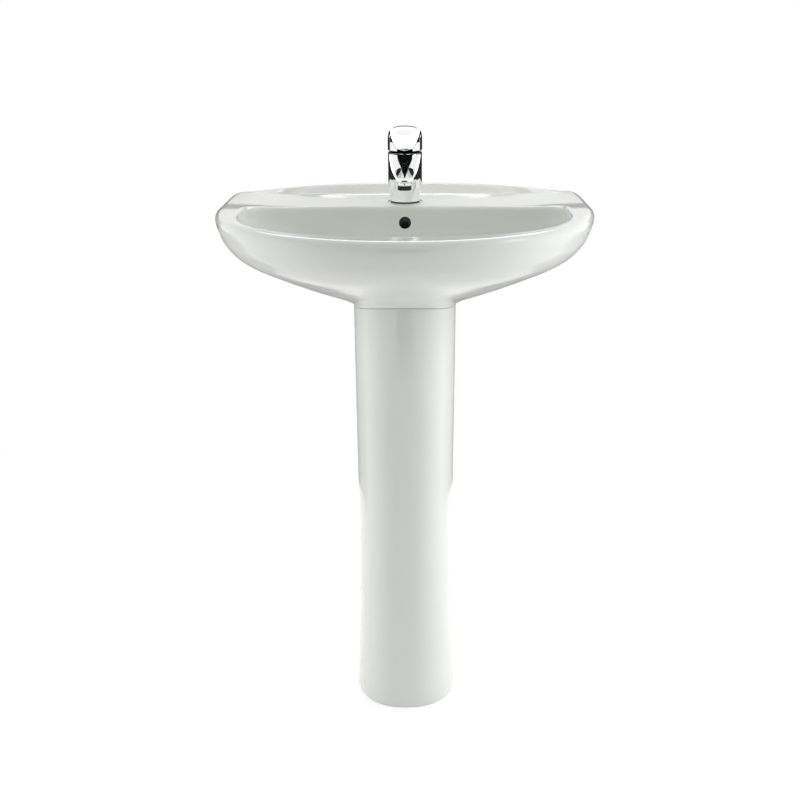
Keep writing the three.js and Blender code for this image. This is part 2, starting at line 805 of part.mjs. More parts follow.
// A cup of plastic with a ring of holes round one in the middle.
function makeAeratorInsert() {
  const radius = aeratorBore - FIT.seat;
  const low = aeratorLow + FIT.seat;
  const rim = tubeRing(radius, radius - AERATOR.wall, low, low + AERATOR.length, STEPS.small);
  let insert = solid(disc(radius, low, low + AERATOR.gridThickness, STEPS.small)).add(solid(rim));
  const pitch = AERATOR.gridPitch;
  const ring = angles(6).map((angle) => [pitch * Math.cos(angle), pitch * Math.sin(angle)]);
  for (const [x, y] of [[0, 0], ...ring]) {
    const hole = disc(AERATOR.gridHoleRadius, low - FIT.cutOverrun, low + AERATOR.length, STEPS.bar);
    insert = insert.subtract(solid(hole.translate(x, y, 0)));
  }
  return geometryOf(insert);
}

function portHoles(low, high) {
  return [-1, 1].map((side) => {
    const hole = disc(CARTRIDGE.portRadius, low, high, STEPS.fine);
    return solid(hole.translate((side * TAP.inletSpacing) / 2, -TAP.inletForward, 0));
  });
}

function makeCartridgeHousing() {
  const top = housingFloor + CARTRIDGE.height;
  let housing = solid(turned([
    [0, housingFloor], [housingRadius, housingFloor], [housingRadius, top],
    [housingBore, top], [housingBore, housingFloor + CARTRIDGE.floor], [0, housingFloor + CARTRIDGE.floor],
  ]));
  for (const hole of portHoles(housingFloor - FIT.cutOverrun, discLow)) housing = housing.subtract(hole);
  const windowDepth = 2 * (CARTRIDGE.wall + FIT.cutOverrun);
  const window = block(CARTRIDGE.portRadius * 2, windowDepth, discLow, movingDiscLow);
  return geometryOf(housing.subtract(solid(window.translate(0, -housingRadius, 0))));
}

function makeFixedDisc() {
  const top = discLow + CARTRIDGE.discThickness;
  const [low, high] = [discLow - FIT.cutOverrun, top + FIT.cutOverrun];
  let plate = solid(disc(housingBore - FIT.seat, discLow, top));
  for (const hole of portHoles(low, high)) plate = plate.subtract(hole);
  const outlet = disc(CARTRIDGE.portRadius, low, high, STEPS.fine).translate(0, TAP.inletSpacing / 2, 0);
  return geometryOf(plate.subtract(solid(outlet)));
}

// The plate that the stem's ball slides over the fixed one.
function makeMovingDisc() {
  const plate = solid(disc(CARTRIDGE.movingDiscRadius, movingDiscLow, movingDiscTop));
  const radius = STEM.ballRadius + STEM.pocketPlay;
  const low = movingDiscTop - STEM.pocketDepth;
  const pocket = disc(radius, low, movingDiscTop + FIT.cutOverrun, STEPS.small);
  return geometryOf(plate.subtract(solid(pocket)));
}

function crossBar(radius, length, height) {
  const along = disc(radius, -length / 2, length / 2, STEPS.fine);
  return solid(along.rotateY(Math.PI / 2).translate(0, 0, height));
}

function makeCarrier() {
  const top = carrierLow + CARTRIDGE.carrierHeight;
  const slotWidth = STEM.side + 2 * FIT.running;
  const slot = block(slotWidth, CARTRIDGE.slotLength, carrierLow - FIT.cutOverrun, top + FIT.cutOverrun);
  const drum = solid(disc(housingBore - FIT.running, carrierLow, top)).subtract(solid(slot));
  const pinHole = crossBar(CARTRIDGE.pinRadius + FIT.seat, 2 * (housingBore + FIT.cutOverrun), pivotHeight);
  return geometryOf(drum.subtract(pinHole));
}

function makePivotPin() {
  return geometryOf(crossBar(CARTRIDGE.pinRadius, 2 * (housingBore - FIT.running), pivotHeight));
}

// The stem about its pivot, before it leans forward.
function makeStem() {
  const shaft = solid(block(STEM.side, STEM.side, -STEM.side / 2, upperArm));
  const neck = solid(disc(STEM.neck / 2, -lowerArm, 0, STEPS.fine));
  const ball = new THREE.SphereGeometry(STEM.ballRadius, STEPS.fine, STEPS.bar).rotateX(Math.PI / 2);
  const foot = solid(ball.translate(0, 0, -lowerArm));
  const pinHole = crossBar(CARTRIDGE.pinRadius + FIT.seat, STEM.side + FIT.cutOverrun, 0);
  return geometryOf(shaft.add(neck).add(foot).subtract(pinHole));
}

function makeCartridgeNut() {
  const low = tapTop - CARTRIDGE.nutHeight;
  return bare(tubeRing(nutCavityRadius - FIT.seat, CARTRIDGE.nutBore, low, tapTop));
}

const domeRise = tapTop + FIT.seat - pivotHeight;
const domeRadius = Math.hypot(TAP.bodyRadius - DOME.baseInset, domeRise);

// A spherical cap about the stem's pivot, so that the lever clears it at every angle.
function makeDome() {
  const innerRadius = domeRadius - DOME.wall;
  const low = Math.asin(domeRise / domeRadius);
  const high = Math.acos(DOME.mouthRadius / domeRadius);
  const innerLow = Math.asin(domeRise / innerRadius);
  const arc = (radius, from, to) => Array.from({ length: STEPS.bands + 1 }, (_, i) => {
    const angle = lerp(from, to, i / STEPS.bands);
    return [radius * Math.cos(angle), pivotHeight + radius * Math.sin(angle)];
  });
  return bare(turned([...arc(domeRadius, low, high), ...arc(innerRadius, high, innerLow)]));
}

// Lever: [share of the reach, share of the narrowing]. Crown: [share of the radius, share of the rise].
const LEVER_SHARES = [[0, 0], [0.35, 0.18], [0.65, 0.55], [0.87, 0.85], [0.96, 1.1], [1, 1.6]];
const CROWN_SHARES = [[1, 0], [0.96, 0.38], [0.84, 0.67], [0.6, 0.88], [0.3, 0.975], [0, 1]];

function leverTongue() {
  const stations = LEVER_SHARES.map(([alongShare, taperShare]) => [
    alongShare * LEVER.reach,
    lerp(capRadius - LEVER.rootInset, LEVER.tipHalfWidth, taperShare),
    tapTop + LEVER.underside,
    tapTop + lerp(LEVER.topRise - LEVER.rootDrop, LEVER.tipTop, alongShare),
  ]);
  return tongue(stations, LEVER_CORNER_SHARE);
}

// What the lever's cap leaves free below it: a slanting base, the dome, and the tap body as it lifts.
function leverHollows() {
  const span = 2 * (capRadius + FIT.cutOverrun);
  const slant = Math.atan2(LEVER.bottomRise, capRadius * 2);
  const level = tapTop + LEVER.bottomGap + LEVER.bottomRise / 2;
  const base = block(span, span, -span, 0).rotateX(slant).translate(0, 0, level);
  const ball = new THREE.SphereGeometry(domeRadius + LEVER.shell, STEPS.turned, STEPS.small);
  const hollows = [base, ball.rotateX(Math.PI / 2).translate(0, 0, pivotHeight)];
  for (let i = 1; i <= STEPS.relief; i += 1) {
    const top = tapTop + LEVER.relief - pivotHeight;
    const below = disc(TAP.bodyRadius + LEVER.relief, -capRadius, top, STEPS.smooth);
    below.rotateX(THREE.MathUtils.degToRad((i / STEPS.relief) * LIFT_DEGREES));
    hollows.push(below.translate(0, 0, pivotHeight));
  }
  return hollows;
}

// Lever cap, dished under for the dome, with the tongue that the hand lifts.
function makeLever() {
  const top = tapTop + LEVER.topRise;
  const low = tapTop - FIT.cutOverrun;
  const crown = CROWN_SHARES.map(([out, up]) => [capRadius * out, lerp(top - LEVER.shoulderDrop, top, up)]);
  const cap = turned([[0, low], [capRadius, low], ...crown], STEPS.smooth);
  const socketSide = STEM.side + 2 * FIT.seat;
  const boreEnd = capRadius + capReach;
  const screwBore = lie(disc(LEVER.screwRadius + FIT.seat, 0, boreEnd, STEPS.fine));
  const plugBore = lie(disc(LEVER.plugRadius + FIT.seat, screwPlugStart - FIT.seat, boreEnd, STEPS.fine));
  const leaning = [
    block(socketSide, socketSide, 0, upperArm + FIT.seat),
    screwBore.translate(0, 0, screwHeight),
    plugBore.translate(0, 0, screwHeight),
  ].map((tool) => tool.rotateX(leanAngle).translate(0, 0, pivotHeight));
  let lever = solid(cap).add(leverTongue());
  for (const tool of [...leverHollows(), ...leaning]) lever = lever.subtract(solid(tool));
  return geometryOf(lever);
}

function makeGrubScrew() {
  const start = STEM.side / 2 + FIT.seat;
  const end = start + LEVER.screwLength;
  const middle = (start + end) / 2;
  const socket = prism(hexagon(LEVER.screwSocket, 0), middle, end + FIT.cutOverrun, 1);
  const screw = solid(disc(LEVER.screwRadius, start, end, STEPS.fine)).subtract(solid(socket));
  return lie(geometryOf(screw));
}

function makeScrewCover() {
  const end = screwPlugStart + LEVER.plugThickness;
  return bare(lie(disc(LEVER.plugRadius, screwPlugStart, end, STEPS.small)));
}

// Tap fixings under the deck

function makeHorseshoe(low) {
  const notch = FIXING.hoseNotchWidth / 2;
  const side = Math.asin(notch / FIXING.washerRadius);
  const studHole = FIXING.studRadius + FIT.seat;
  const shape = new THREE.Shape();
  shape.absarc(0, 0, FIXING.washerRadius, side - Math.PI / 2, (3 * Math.PI) / 2 - side, false);
  shape.lineTo(-notch, FIXING.hoseNotchDepth);
  shape.lineTo(notch, FIXING.hoseNotchDepth);
  shape.closePath();
  shape.holes.push(new THREE.Path().absarc(0, FIXING.studOffset, studHole, 0, 2 * Math.PI, true));
  return bare(prism(shape, low, low + FIXING.washerThickness));
}

const rubberLow = deckUnder - FIT.seat - FIXING.washerThickness;
const bracketLow = rubberLow - FIT.seat - FIXING.washerThickness;
const studNutLow = bracketLow - FIT.seat - FIXING.nutHeight;

function makeStud() {
  const top = tapBase + FIXING.studEngagement - FIT.seat;
  return bare(disc(FIXING.studRadius, studNutLow - FIXING.studTail, top, STEPS.small));
}

function makeStudNut() {
  const outline = hexagon(FIXING.nutAcrossCorners, FIXING.studRadius + FIT.seat);
  return bare(prism(outline, studNutLow, studNutLow + FIXING.nutHeight));
}

// Waste and its plug

const wasteFlangeLow = bowlFloor - WASTE.seatDepth + FIT.seat;
const wasteFlangeTop = wasteFlangeLow + WASTE.flangeThickness;
const wasteTail = wasteFlangeLow - WASTE.tubeLength;
const tubeClear = WASTE.tubeRadius + FIT.seat;
const gasketTop = PEDESTAL.seamHeight + BASIN.bossRise - FIT.seat;
const gasketLow = gasketTop - WASTE.gasketThickness;
const backnutTop = gasketLow - FIT.seat;
const guideTop = wasteFlangeTop - WASTE.guideDrop;
const sealLow = wasteFlangeTop + FIT.seat;
const plugLow = sealLow + PLUG.sealThickness + FIT.seat;

function makeWasteBody() {
  const tube = solid(turned([
    [tubeBore, wasteTail], [WASTE.tubeRadius, wasteTail], [WASTE.tubeRadius, wasteFlangeLow],
    [WASTE.flangeRadius, wasteFlangeLow], [WASTE.flangeRadius, wasteFlangeTop], [tubeBore, wasteFlangeTop],
  ]));
  const length = 2 * (WASTE.tubeRadius + FIT.cutOverrun);
  const [low, high] = [channelHeight - WASTE.slotHeight / 2, channelHeight + WASTE.slotHeight / 2];
  return geometryOf(tube.subtract(solid(block(WASTE.slotWidth, length, low, high))));
}

function makeGasket() {
  return bare(tubeRing(WASTE.gasketRadius, tubeClear, gasketLow, gasketTop));
}

function makeBacknut() {
  return bare(prism(hexagon(WASTE.nutRadius * 2, tubeClear), backnutTop - WASTE.nutHeight, backnutTop));
}

// A ring in the tube, with three arms to the hub that guides the plug's stem.
function makePlugGuide() {
  const low = guideTop - WASTE.guideHeight;
  const ringTop = low + WASTE.guideHeight / 2;
  const ringRadius = tubeBore - FIT.seat;
  const hubBore = PLUG.stemRadius + FIT.running;
  let guide = solid(tubeRing(ringRadius, ringRadius - WASTE.guideArm, low, ringTop));
  guide = guide.add(solid(tubeRing(WASTE.guideRadius, hubBore, low, guideTop)));
  const [start, end] = [(hubBore + WASTE.guideRadius) / 2, ringRadius - WASTE.guideArm / 2];
  for (const angle of angles(3)) {
    const arm = block(WASTE.guideArm, end - start, low, ringTop).translate(0, (start + end) / 2, 0);
    guide = guide.add(solid(arm.rotateZ(angle)));
  }
  return geometryOf(guide);
}

// Plug: [share of its radius, share of its crown's rise].
const PLUG_SHARES = [[0.94, 0.6], [0.5, 0.95], [0, 1]];

function makePlugCap() {
  const rim = plugLow + PLUG.thickness - PLUG.crown;
  const crown = PLUG_SHARES.map(([out, up]) => [PLUG.radius * out, rim + PLUG.crown * up]);
  return bare(turned([
    [0, plugLow], [PLUG.radius - PLUG.crown, plugLow], [PLUG.radius, plugLow + PLUG.crown],
    [PLUG.radius, rim], ...crown,
  ]));
}

function makePlugSeal() {
  return bare(tubeRing(PLUG.sealOuterRadius, PLUG.sealInnerRadius, sealLow, sealLow + PLUG.sealThickness));
}

function makePlugStem() {
  return bare(disc(PLUG.stemRadius, plugLow - FIT.seat - PLUG.stemLength, plugLow - FIT.seat, STEPS.small));
}

function makePlugSpring() {
  const low = guideTop + FIT.seat + PLUG.springWire;
  const high = plugLow - FIT.seat - PLUG.springWire;
  const steps = SPRING_TURNS * STEPS.wire;
  const points = Array.from({ length: steps + 1 }, (_, i) => {
    const angle = (i * 2 * Math.PI) / STEPS.wire;
    const [x, y] = [PLUG.springRadius * Math.cos(angle), PLUG.springRadius * Math.sin(angle)];
    return [x, y, lerp(low, high, i / steps)];
  });
  return bare(bar(points, PLUG.springWire, steps, 2));
}

// Bottle trap, hung from the waste's tail

const unionTop = wasteTail + TRAP.nutOverlap;
const unionLow = unionTop - TRAP.nutHeight;
const unionWasherTop = wasteTail - FIT.seat;
const unionWasherLow = unionWasherTop - TRAP.washerThickness;
const dipFlangeTop = unionWasherLow - FIT.seat;
const dipFlangeLow = dipFlangeTop - TRAP.dipFlangeThickness;
const collarTop = unionLow - FIT.seat;
const bottleTop = collarTop - TRAP.collarHeight;
const bottleLow = bottleTop - TRAP.bottleHeight;
const bottleBore = TRAP.bottleRadius - TRAP.bottleWall;
const cupSealTop = bottleLow - FIT.seat;
const cupSealLow = cupSealTop - TRAP.cupSeal;
const cupLow = bottleLow - TRAP.cupDepth;
const outletHeight = bottleTop - OUTLET.drop;
const spigotRadius = OUTLET.pipeRadius + OUTLET.spigotMargin;
const spigotEnd = OUTLET.spigotLength;
const outletWasherStart = spigotEnd + FIT.seat;
const outletNutLip = outletWasherStart + OUTLET.washerLength;
const outletEnd = wallY - FIT.seat - WASTE.y;

function makeUnionNut() {
  const bore = TRAP.dipRadius + FIT.seat;
  const nutRadius = WASTE.tubeRadius + TRAP.nutMargin;
  const lipTop = dipFlangeLow - FIT.seat;
  return bare(turned([
    [bore, unionLow], [nutRadius, unionLow], [nutRadius, unionTop],
    [tubeClear, unionTop], [tubeClear, lipTop], [bore, lipTop],
  ]));
}

function makeUnionWasher() {
  return bare(tubeRing(WASTE.tubeRadius - FIT.seat, tubeBore, unionWasherLow, unionWasherTop));
}

function makeDipTube() {
  const bore = TRAP.dipRadius - TRAP.dipWall;
  const flange = WASTE.tubeRadius - TRAP.dipFlangeInset;
  const low = cupLow + TRAP.cupWall + TRAP.dipClearance;
  return bare(turned([
    [bore, low], [TRAP.dipRadius, low], [TRAP.dipRadius, dipFlangeLow],
    [flange, dipFlangeLow], [flange, dipFlangeTop], [bore, dipFlangeTop],
  ]));
}

// Turned shapes about Z, laid along +Y at the height of the outlet.
function alongOutlet(geometry) {
  return lie(geometry).translate(0, 0, outletHeight);
}

function makeBottle() {
  const collarBore = TRAP.dipRadius + FIT.running;
  const roof = bottleTop - TRAP.bottleWall;
  const shell = solid(turned([
    [bottleBore, bottleLow], [TRAP.bottleRadius, bottleLow], [TRAP.bottleRadius, bottleTop],
    [TRAP.collarRadius, bottleTop], [TRAP.collarRadius, collarTop], [collarBore, collarTop],
    [collarBore, roof], [bottleBore, roof],
  ]));
  const spigot = alongOutlet(disc(spigotRadius, bottleBore, spigotEnd));
  const boreStart = TRAP.dipRadius + FIT.cutOverrun;
  const bore = alongOutlet(disc(OUTLET.pipeRadius + FIT.running, boreStart, spigotEnd + FIT.cutOverrun));
  return geometryOf(shell.add(solid(spigot)).subtract(solid(bore)));
}

function makeCup() {
  const inner = TRAP.bottleRadius + FIT.running;
  const outer = inner + TRAP.cupWall;
  const top = bottleLow + TRAP.cupOverlap;
  const seat = cupSealLow - FIT.seat;
  return bare(turned([
    [0, cupLow], [bottleBore, cupLow], [outer, cupLow + TRAP.cupBevel],
    [outer, top], [inner, top], [inner, seat], [bottleBore, seat], [bottleBore, cupLow + TRAP.cupBevel],
    [bottleBore - TRAP.cupWall, cupLow + TRAP.cupWall], [0, cupLow + TRAP.cupWall],
  ]));
}

function makeCupSeal() {
  return bare(tubeRing(TRAP.bottleRadius, bottleBore, cupSealLow, cupSealTop));
}

function makeOutletNut() {
  const end = outletNutLip + OUTLET.nutLip;
  const start = end - OUTLET.nutLength;
  const radius = spigotRadius + OUTLET.nutMargin;
  const [wide, narrow] = [spigotRadius + FIT.seat, OUTLET.pipeRadius + FIT.seat];
  return bare(alongOutlet(turned([
    [wide, start], [radius, start], [radius, end], [narrow, end],
    [narrow, outletNutLip + FIT.seat], [wide, outletNutLip + FIT.seat],
  ])));
}

function makeOutletWasher() {
  const bore = OUTLET.pipeRadius + FIT.seat;
  return bare(alongOutlet(tubeRing(spigotRadius, bore, outletWasherStart, outletNutLip - FIT.seat)));
}

function makeOutletPipe() {
  const start = TRAP.dipRadius + OUTLET.pipeGap;
  const bore = OUTLET.pipeRadius - OUTLET.pipeWall;
  return bare(alongOutlet(tubeRing(OUTLET.pipeRadius, bore, start, outletEnd)));
}

// A dished cover plate round the pipe, flat against the wall.
function makeRose() {
  const bore = OUTLET.pipeRadius + FIT.seat;
  const front = outletEnd - OUTLET.roseDepth;
  const wall = OUTLET.roseWall;
  return bare(alongOutlet(turned([
    [bore, front], [spigotRadius, front], [OUTLET.roseRadius - wall, outletEnd - wall],
    [OUTLET.roseRadius, outletEnd], [OUTLET.roseRadius - 2 * wall, outletEnd],
    [spigotRadius - wall, front + wall], [bore, front + wall],
  ])));
}

// Materials

function material(color, roughness, metalness) {
  return new THREE.MeshStandardMaterial({ color, roughness, metalness });
}

const glaze = () => material(0xdfe1dc, 0.12, 0);
const chrome = () => material(0xd9dadb, 0.08, 1);
const brass = () => material(0xb8954f, 0.35, 1);
const steel = () => material(0x9fa2a3, 0.4, 1);
const rubber = () => material(0x1d1e1f, 0.8, 0);
const whitePlastic = () => material(0xe9e9e6, 0.4, 0);
const darkPlastic = () => material(0x3c4043, 0.45, 0);
const alumina = () => material(0xf0eee8, 0.25, 0);

function piece(name, geometry, finish) {
  const mesh = new THREE.Mesh(geometry, finish);
  mesh.name = name;
  return mesh;
}

function placed(children, x, y, z) {
  const holder = new THREE.Group();
  holder.add(...children);
  holder.position.set(x, y, z);
  return holder;
}

function tapAssembly() {
  const screw = piece('lever_grub_screw', makeGrubScrew(), steel());
  const cover = piece('lever_screw_cover', makeScrewCover(), darkPlastic());
  screw.position.z = screwHeight;
  cover.position.z = screwHeight;
  const leaning = placed([piece('cartridge_stem', makeStem(), steel()), screw, cover], 0, 0, pivotHeight);
  leaning.rotation.x = leanAngle;
  const movingDisc = piece('moving_ceramic_disc', makeMovingDisc(), alumina());
  movingDisc.position.y = lowerArm * Math.sin(leanAngle);
  const [sealLowEdge, sealTopEdge] = [padHeight + FIT.seat / 2, tapBase - FIT.seat / 2];
  const baseSeal = tubeRing(TAP.baseRadius - FIT.seat, TAP.sealInnerRadius, sealLowEdge, sealTopEdge);
  const fixings = placed([
    piece('tap_stud', makeStud(), steel()),
    piece('tap_stud_nut', makeStudNut(), brass()),
  ], 0, FIXING.studOffset, 0);
  const aerator = placed([
    piece('aerator_housing', makeAeratorHousing(), chrome()),
    piece('aerator_insert', makeAeratorInsert(), darkPlastic()),
  ], 0, -AERATOR.reach, 0);
  return placed([
    piece('tap_body', makeTapBody(), chrome()),
    piece('tap_base_seal', bare(baseSeal), rubber()),
    piece('cartridge_housing', makeCartridgeHousing(), whitePlastic()),
    piece('fixed_ceramic_disc', makeFixedDisc(), alumina()),
    piece('cartridge_carrier', makeCarrier(), whitePlastic()),
    piece('stem_pivot_pin', makePivotPin(), steel()),
    piece('cartridge_nut', makeCartridgeNut(), brass()),
    piece('cartridge_dome', makeDome(), chrome()),
    piece('lever_handle', makeLever(), chrome()),
    piece('tap_rubber_washer', makeHorseshoe(rubberLow), rubber()),
    piece('tap_horseshoe_bracket', makeHorseshoe(bracketLow), steel()),
    movingDisc,
    fixings,
    leaning,
    aerator,
  ], 0, tapY, 0);
}

function wasteAssembly() {
  return placed([
    piece('waste_body', makeWasteBody(), chrome()),
    piece('waste_gasket', makeGasket(), rubber()),
    piece('waste_backnut', makeBacknut(), brass()),
    piece('plug_guide', makePlugGuide(), brass()),
    piece('plug_cap', makePlugCap(), chrome()),
    piece('plug_seal', makePlugSeal(), rubber()),
    piece('plug_stem', makePlugStem(), brass()),
    piece('plug_spring', makePlugSpring(), steel()),
  ], 0, WASTE.y, 0);
}

function trapAssembly() {
  return placed([
    piece('trap_union_nut', makeUnionNut(), chrome()),
    piece('trap_union_washer', makeUnionWasher(), rubber()),
    piece('trap_dip_tube', makeDipTube(), chrome()),
    piece('trap_bottle', makeBottle(), chrome()),
    piece('trap_cup', makeCup(), chrome()),
    piece('trap_cup_seal', makeCupSeal(), rubber()),
    piece('outlet_nut', makeOutletNut(), chrome()),
    piece('outlet_washer', makeOutletWasher(), rubber()),
    piece('outlet_pipe', makeOutletPipe(), chrome()),
    piece('wall_rose', makeRose(), chrome()),
  ], 0, WASTE.y, 0);
}

const group = new THREE.Group();
group.add(piece('basin', makeBasin(), glaze()));
group.add(piece('pedestal', makePedestal(), glaze()));
group.add(tapAssembly());
group.add(wasteAssembly());
group.add(trapAssembly());

export default group;
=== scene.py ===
# Pedestal washbasin with a mixer tap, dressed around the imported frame. Metres, +Z up, wall at +Y.
import json
import math

import bmesh
import bpy
import numpy as np
from mathutils import Matrix, Vector


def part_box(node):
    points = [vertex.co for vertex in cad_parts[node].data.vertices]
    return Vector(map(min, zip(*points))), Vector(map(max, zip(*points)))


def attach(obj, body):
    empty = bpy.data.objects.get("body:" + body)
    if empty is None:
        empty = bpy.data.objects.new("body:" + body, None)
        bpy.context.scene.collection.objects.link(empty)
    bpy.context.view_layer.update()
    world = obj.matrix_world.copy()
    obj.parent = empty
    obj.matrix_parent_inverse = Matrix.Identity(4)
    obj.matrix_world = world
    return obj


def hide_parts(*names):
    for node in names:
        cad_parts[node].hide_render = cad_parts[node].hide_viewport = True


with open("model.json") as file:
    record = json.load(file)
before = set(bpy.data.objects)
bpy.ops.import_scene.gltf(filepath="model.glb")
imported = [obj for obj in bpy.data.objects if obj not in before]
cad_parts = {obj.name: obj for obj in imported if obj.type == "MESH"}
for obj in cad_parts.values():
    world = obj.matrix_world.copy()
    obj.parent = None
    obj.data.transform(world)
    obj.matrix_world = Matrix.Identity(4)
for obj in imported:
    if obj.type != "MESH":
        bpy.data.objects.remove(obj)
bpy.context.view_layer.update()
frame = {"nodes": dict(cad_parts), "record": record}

scene = bpy.context.scene

# Camera, fitted to the photograph's frame of 800 x 800
FRAME_PX = 800
SENSOR = 36.0
CAMERA = {
    "distance": 1.8,
    "height": 1.1552,
    "turn_degrees": 0.6,
    "pitch_degrees": 18.709,
    "roll_degrees": -0.25,
    "focal_px": 1163.7,
    "centre_px": (405.1, 398.72),
    "clip_end": 50,
}

# Basin
BASIN = {
    "width": 0.604,
    "depth": 0.48,
    "rim": 0.85,
    "body": 0.15,
    "widest_y": 0.085,
    "roll": 0.012,
    "back_roll": 0.006,
    "deck_fall": 0.008,
    "fall_start": 0.02,
    "deck_rise": 0.005,
    "side_start": 0.19,
    "side_blend": 0.09,
    "ledge_depth": 0.033,
    "ledge_run": 0.02,
    "ledge_rise": 0.0157,
    "ledge_inset": 0.036,
    "corner_blend": 0.11,
    "rear_reach": 0.5,
    "seam_lip": 0.0011,
    "boss_radius": 0.038,
    "boss_rise": 0.004,
    "edge": 0.0016,
}
BOWL = {
    "side_rim": 0.046,
    "front_rim": 0.048,
    "back_deck": 0.132,
    "widest_y": 0.035,
    "lip": 0.008,
    "floor": 0.728,
    "floor_radius": 0.036,
    "seat_radius": 0.033,
    "seat_depth": 0.003,
    "drain_radius": 0.0226,
}
PEDESTAL = {
    "top_half": 0.0825,
    "waist_half": 0.08,
    "foot_half": 0.0866,
    "waist": 0.35,
    "front": -0.062,
    "widest_y": 0.04,
    "back": 0.13,
    "wall": 0.011,
    "opening": 0.104,
    "opening_start": 0.11,
    "opening_past": 0.05,
    "opening_top": 0.75,
    "seam": 0.7,
    "seam_rise": 0.013,
    "seam_gap": 0.0005,
    "foot_radius": 0.007,
    "edge": 0.0016,
}
OVERFLOW = {
    "radius": 0.01,
    "height": 0.815,
    "start": 0.072,
    "end": 0.117,
    "channel": 0.006,
    "casing": 0.011,
    "low": 0.713,
}
SERVICE = {
    "wall": 0.014,
    "deck": 0.014,
    "half": 0.192,
    "low_half": 0.132,
    "front": 0.124,
    "low_front": 0.108,
    "narrow_share": 0.28,
    "wide_share": 0.67,
}
WALL_HOLE = {"radius": 0.007, "x": 0.14, "z": 0.782, "start": 0.2, "end": 0.26}

SEAM_SHARES = {"front": 0.145, "back": 0.556}
RIM_SHARES = {"front": 0.065, "back": 0.47}
BOWL_EDGE_SHARES = {"front": 0.2, "back": 0.375}
HOLLOW_SHARE = 0.714
LEDGE_POWER = 2.4
LEDGE_FILLET_SHARE = 0.12
SIDE_FALL_SHARE = 0.3
BOWL_POWERS = {"side": 2.2, "side_round": 2 / 3, "back": 3, "back_round": 0.5}
BOWL_RING_POWER = 0.8
FOOT_POWER = 1.8

WALL_Y = BASIN["depth"] / 2
FRONT_Y = -WALL_Y
HALF = BASIN["width"] / 2
LOW_DECK = BASIN["rim"] - BASIN["deck_fall"]
LEDGE_Y = WALL_Y - BASIN["ledge_depth"]
BOWL_BACK = WALL_Y - BOWL["back_deck"]
DECK_FRONT = BOWL_BACK + BOWL["lip"]
DECK_UNDER = LOW_DECK - SERVICE["deck"]


# Mesh helpers

MERGE = 1e-7
ON_AXIS = 1e-9
EDGE_STEPS = 4
# Cutters reach this far past the faces that they open.
PAST = 0.01


def link(name, mesh):
    obj = bpy.data.objects.new(name, mesh)
    scene.collection.objects.link(obj)
    return obj


def from_faces(name, points, faces):
    mesh = bpy.data.meshes.new(name)
    mesh.from_pydata([tuple(p) for p in points], [], faces)
    work = bmesh.new()
    work.from_mesh(mesh)
    bmesh.ops.remove_doubles(work, verts=work.verts, dist=MERGE)
    bmesh.ops.recalc_face_normals(work, faces=work.faces)
    work.to_mesh(mesh)
    work.free()
    return link(name, mesh)


def loft(name, rings, looped=False):
    """A closed solid through rings of as many points each, capped at the ends unless looped."""
    rings = [np.asarray(ring) for ring in rings]
    count = len(rings[0])
    points = np.concatenate(rings)
    faces = []
    strips = len(rings) if looped else len(rings) - 1
    for r in range(strips):
        a = r * count
        b = ((r + 1) % len(rings)) * count
        for i in range(count):
            j = (i + 1) % count
            faces.append((a + i, a + j, b + j, b + i))
    if not looped:
        faces.append(tuple(range(count - 1, -1, -1)))
        faces.append(tuple(range((len(rings) - 1) * count, len(rings) * count)))
    return from_faces(name, points, faces)


def corner_arc(before, corner, after, radius):
    """Points of a round corner between two straight runs."""
    p, a, b = Vector(corner), Vector(before), Vector(after)
    u, v = a - p, b - p
    angle = u.angle(v)
    reach = min(radius / math.tan(angle / 2), u.length / 2, v.length / 2)
    start, end = p + u.normalized() * reach, p + v.normalized() * reach
    arc = []
    for i in range(EDGE_STEPS + 1):
        t = i / EDGE_STEPS
        arc.append(tuple((1 - t) ** 2 * start + 2 * t * (1 - t) * p + t ** 2 * end))
    return arc


def rounded(points, radius):
    """A closed [radius, height] outline with its corners off the axis rounded."""
    result = []
    for i, point in enumerate(points):
        before, after = points[i - 1], points[(i + 1) % len(points)]
        if point[0] < ON_AXIS:
            result.append(point)
        else:
            result.extend(corner_arc(before, point, after, radius))
    return result


def turned(name, points, radius=0.0, sides=96):
    """A solid of revolution about Z from a closed [radius, height] outline."""
    outline = rounded(points, radius) if radius > 0 else points
    on_axis = [r < ON_AXIS for r, z in outline]
    vertices, rows = [], []
    for (r, z), flat in zip(outline, on_axis):
        if flat:
            rows.append([len(vertices)] * sides)
            vertices.append((0.0, 0.0, z))
        else:
            rows.append(list(range(len(vertices), len(vertices) + sides)))
            for i in range(sides):
                turn = 2 * math.pi * i / sides
                vertices.append((r * math.cos(turn), r * math.sin(turn), z))
    faces = []
    for k, row in enumerate(rows):
        following = rows[(k + 1) % len(rows)]
        if on_axis[k] and on_axis[(k + 1) % len(rows)]:
            continue
        for i in range(sides):
            j = (i + 1) % sides
            face = [row[i], row[j], following[j], following[i]]
            faces.append(tuple(dict.fromkeys(face)))
    return from_faces(name, vertices, faces)


def cylinder(name, radius, low, high, edge=0.0, sides=96):
    """A solid cylinder about Z between two heights."""
    return turned(name, [(0, low), (radius, low), (radius, high), (0, high)], edge, sides)


def move(obj, offset=(0, 0, 0), turn_x=0.0):
    """Turns a mesh about X, then shifts it, in its own points."""
    for vertex in obj.data.vertices:
        x, y, z = vertex.co
        c, s = math.cos(turn_x), math.sin(turn_x)
        vertex.co = (x + offset[0], y * c - z * s + offset[1], y * s + z * c + offset[2])
    return obj


def laid(obj, offset=(0, 0, 0)):
    """Lays a solid that was turned about Z along +Y."""
    return move(obj, offset, -math.pi / 2)


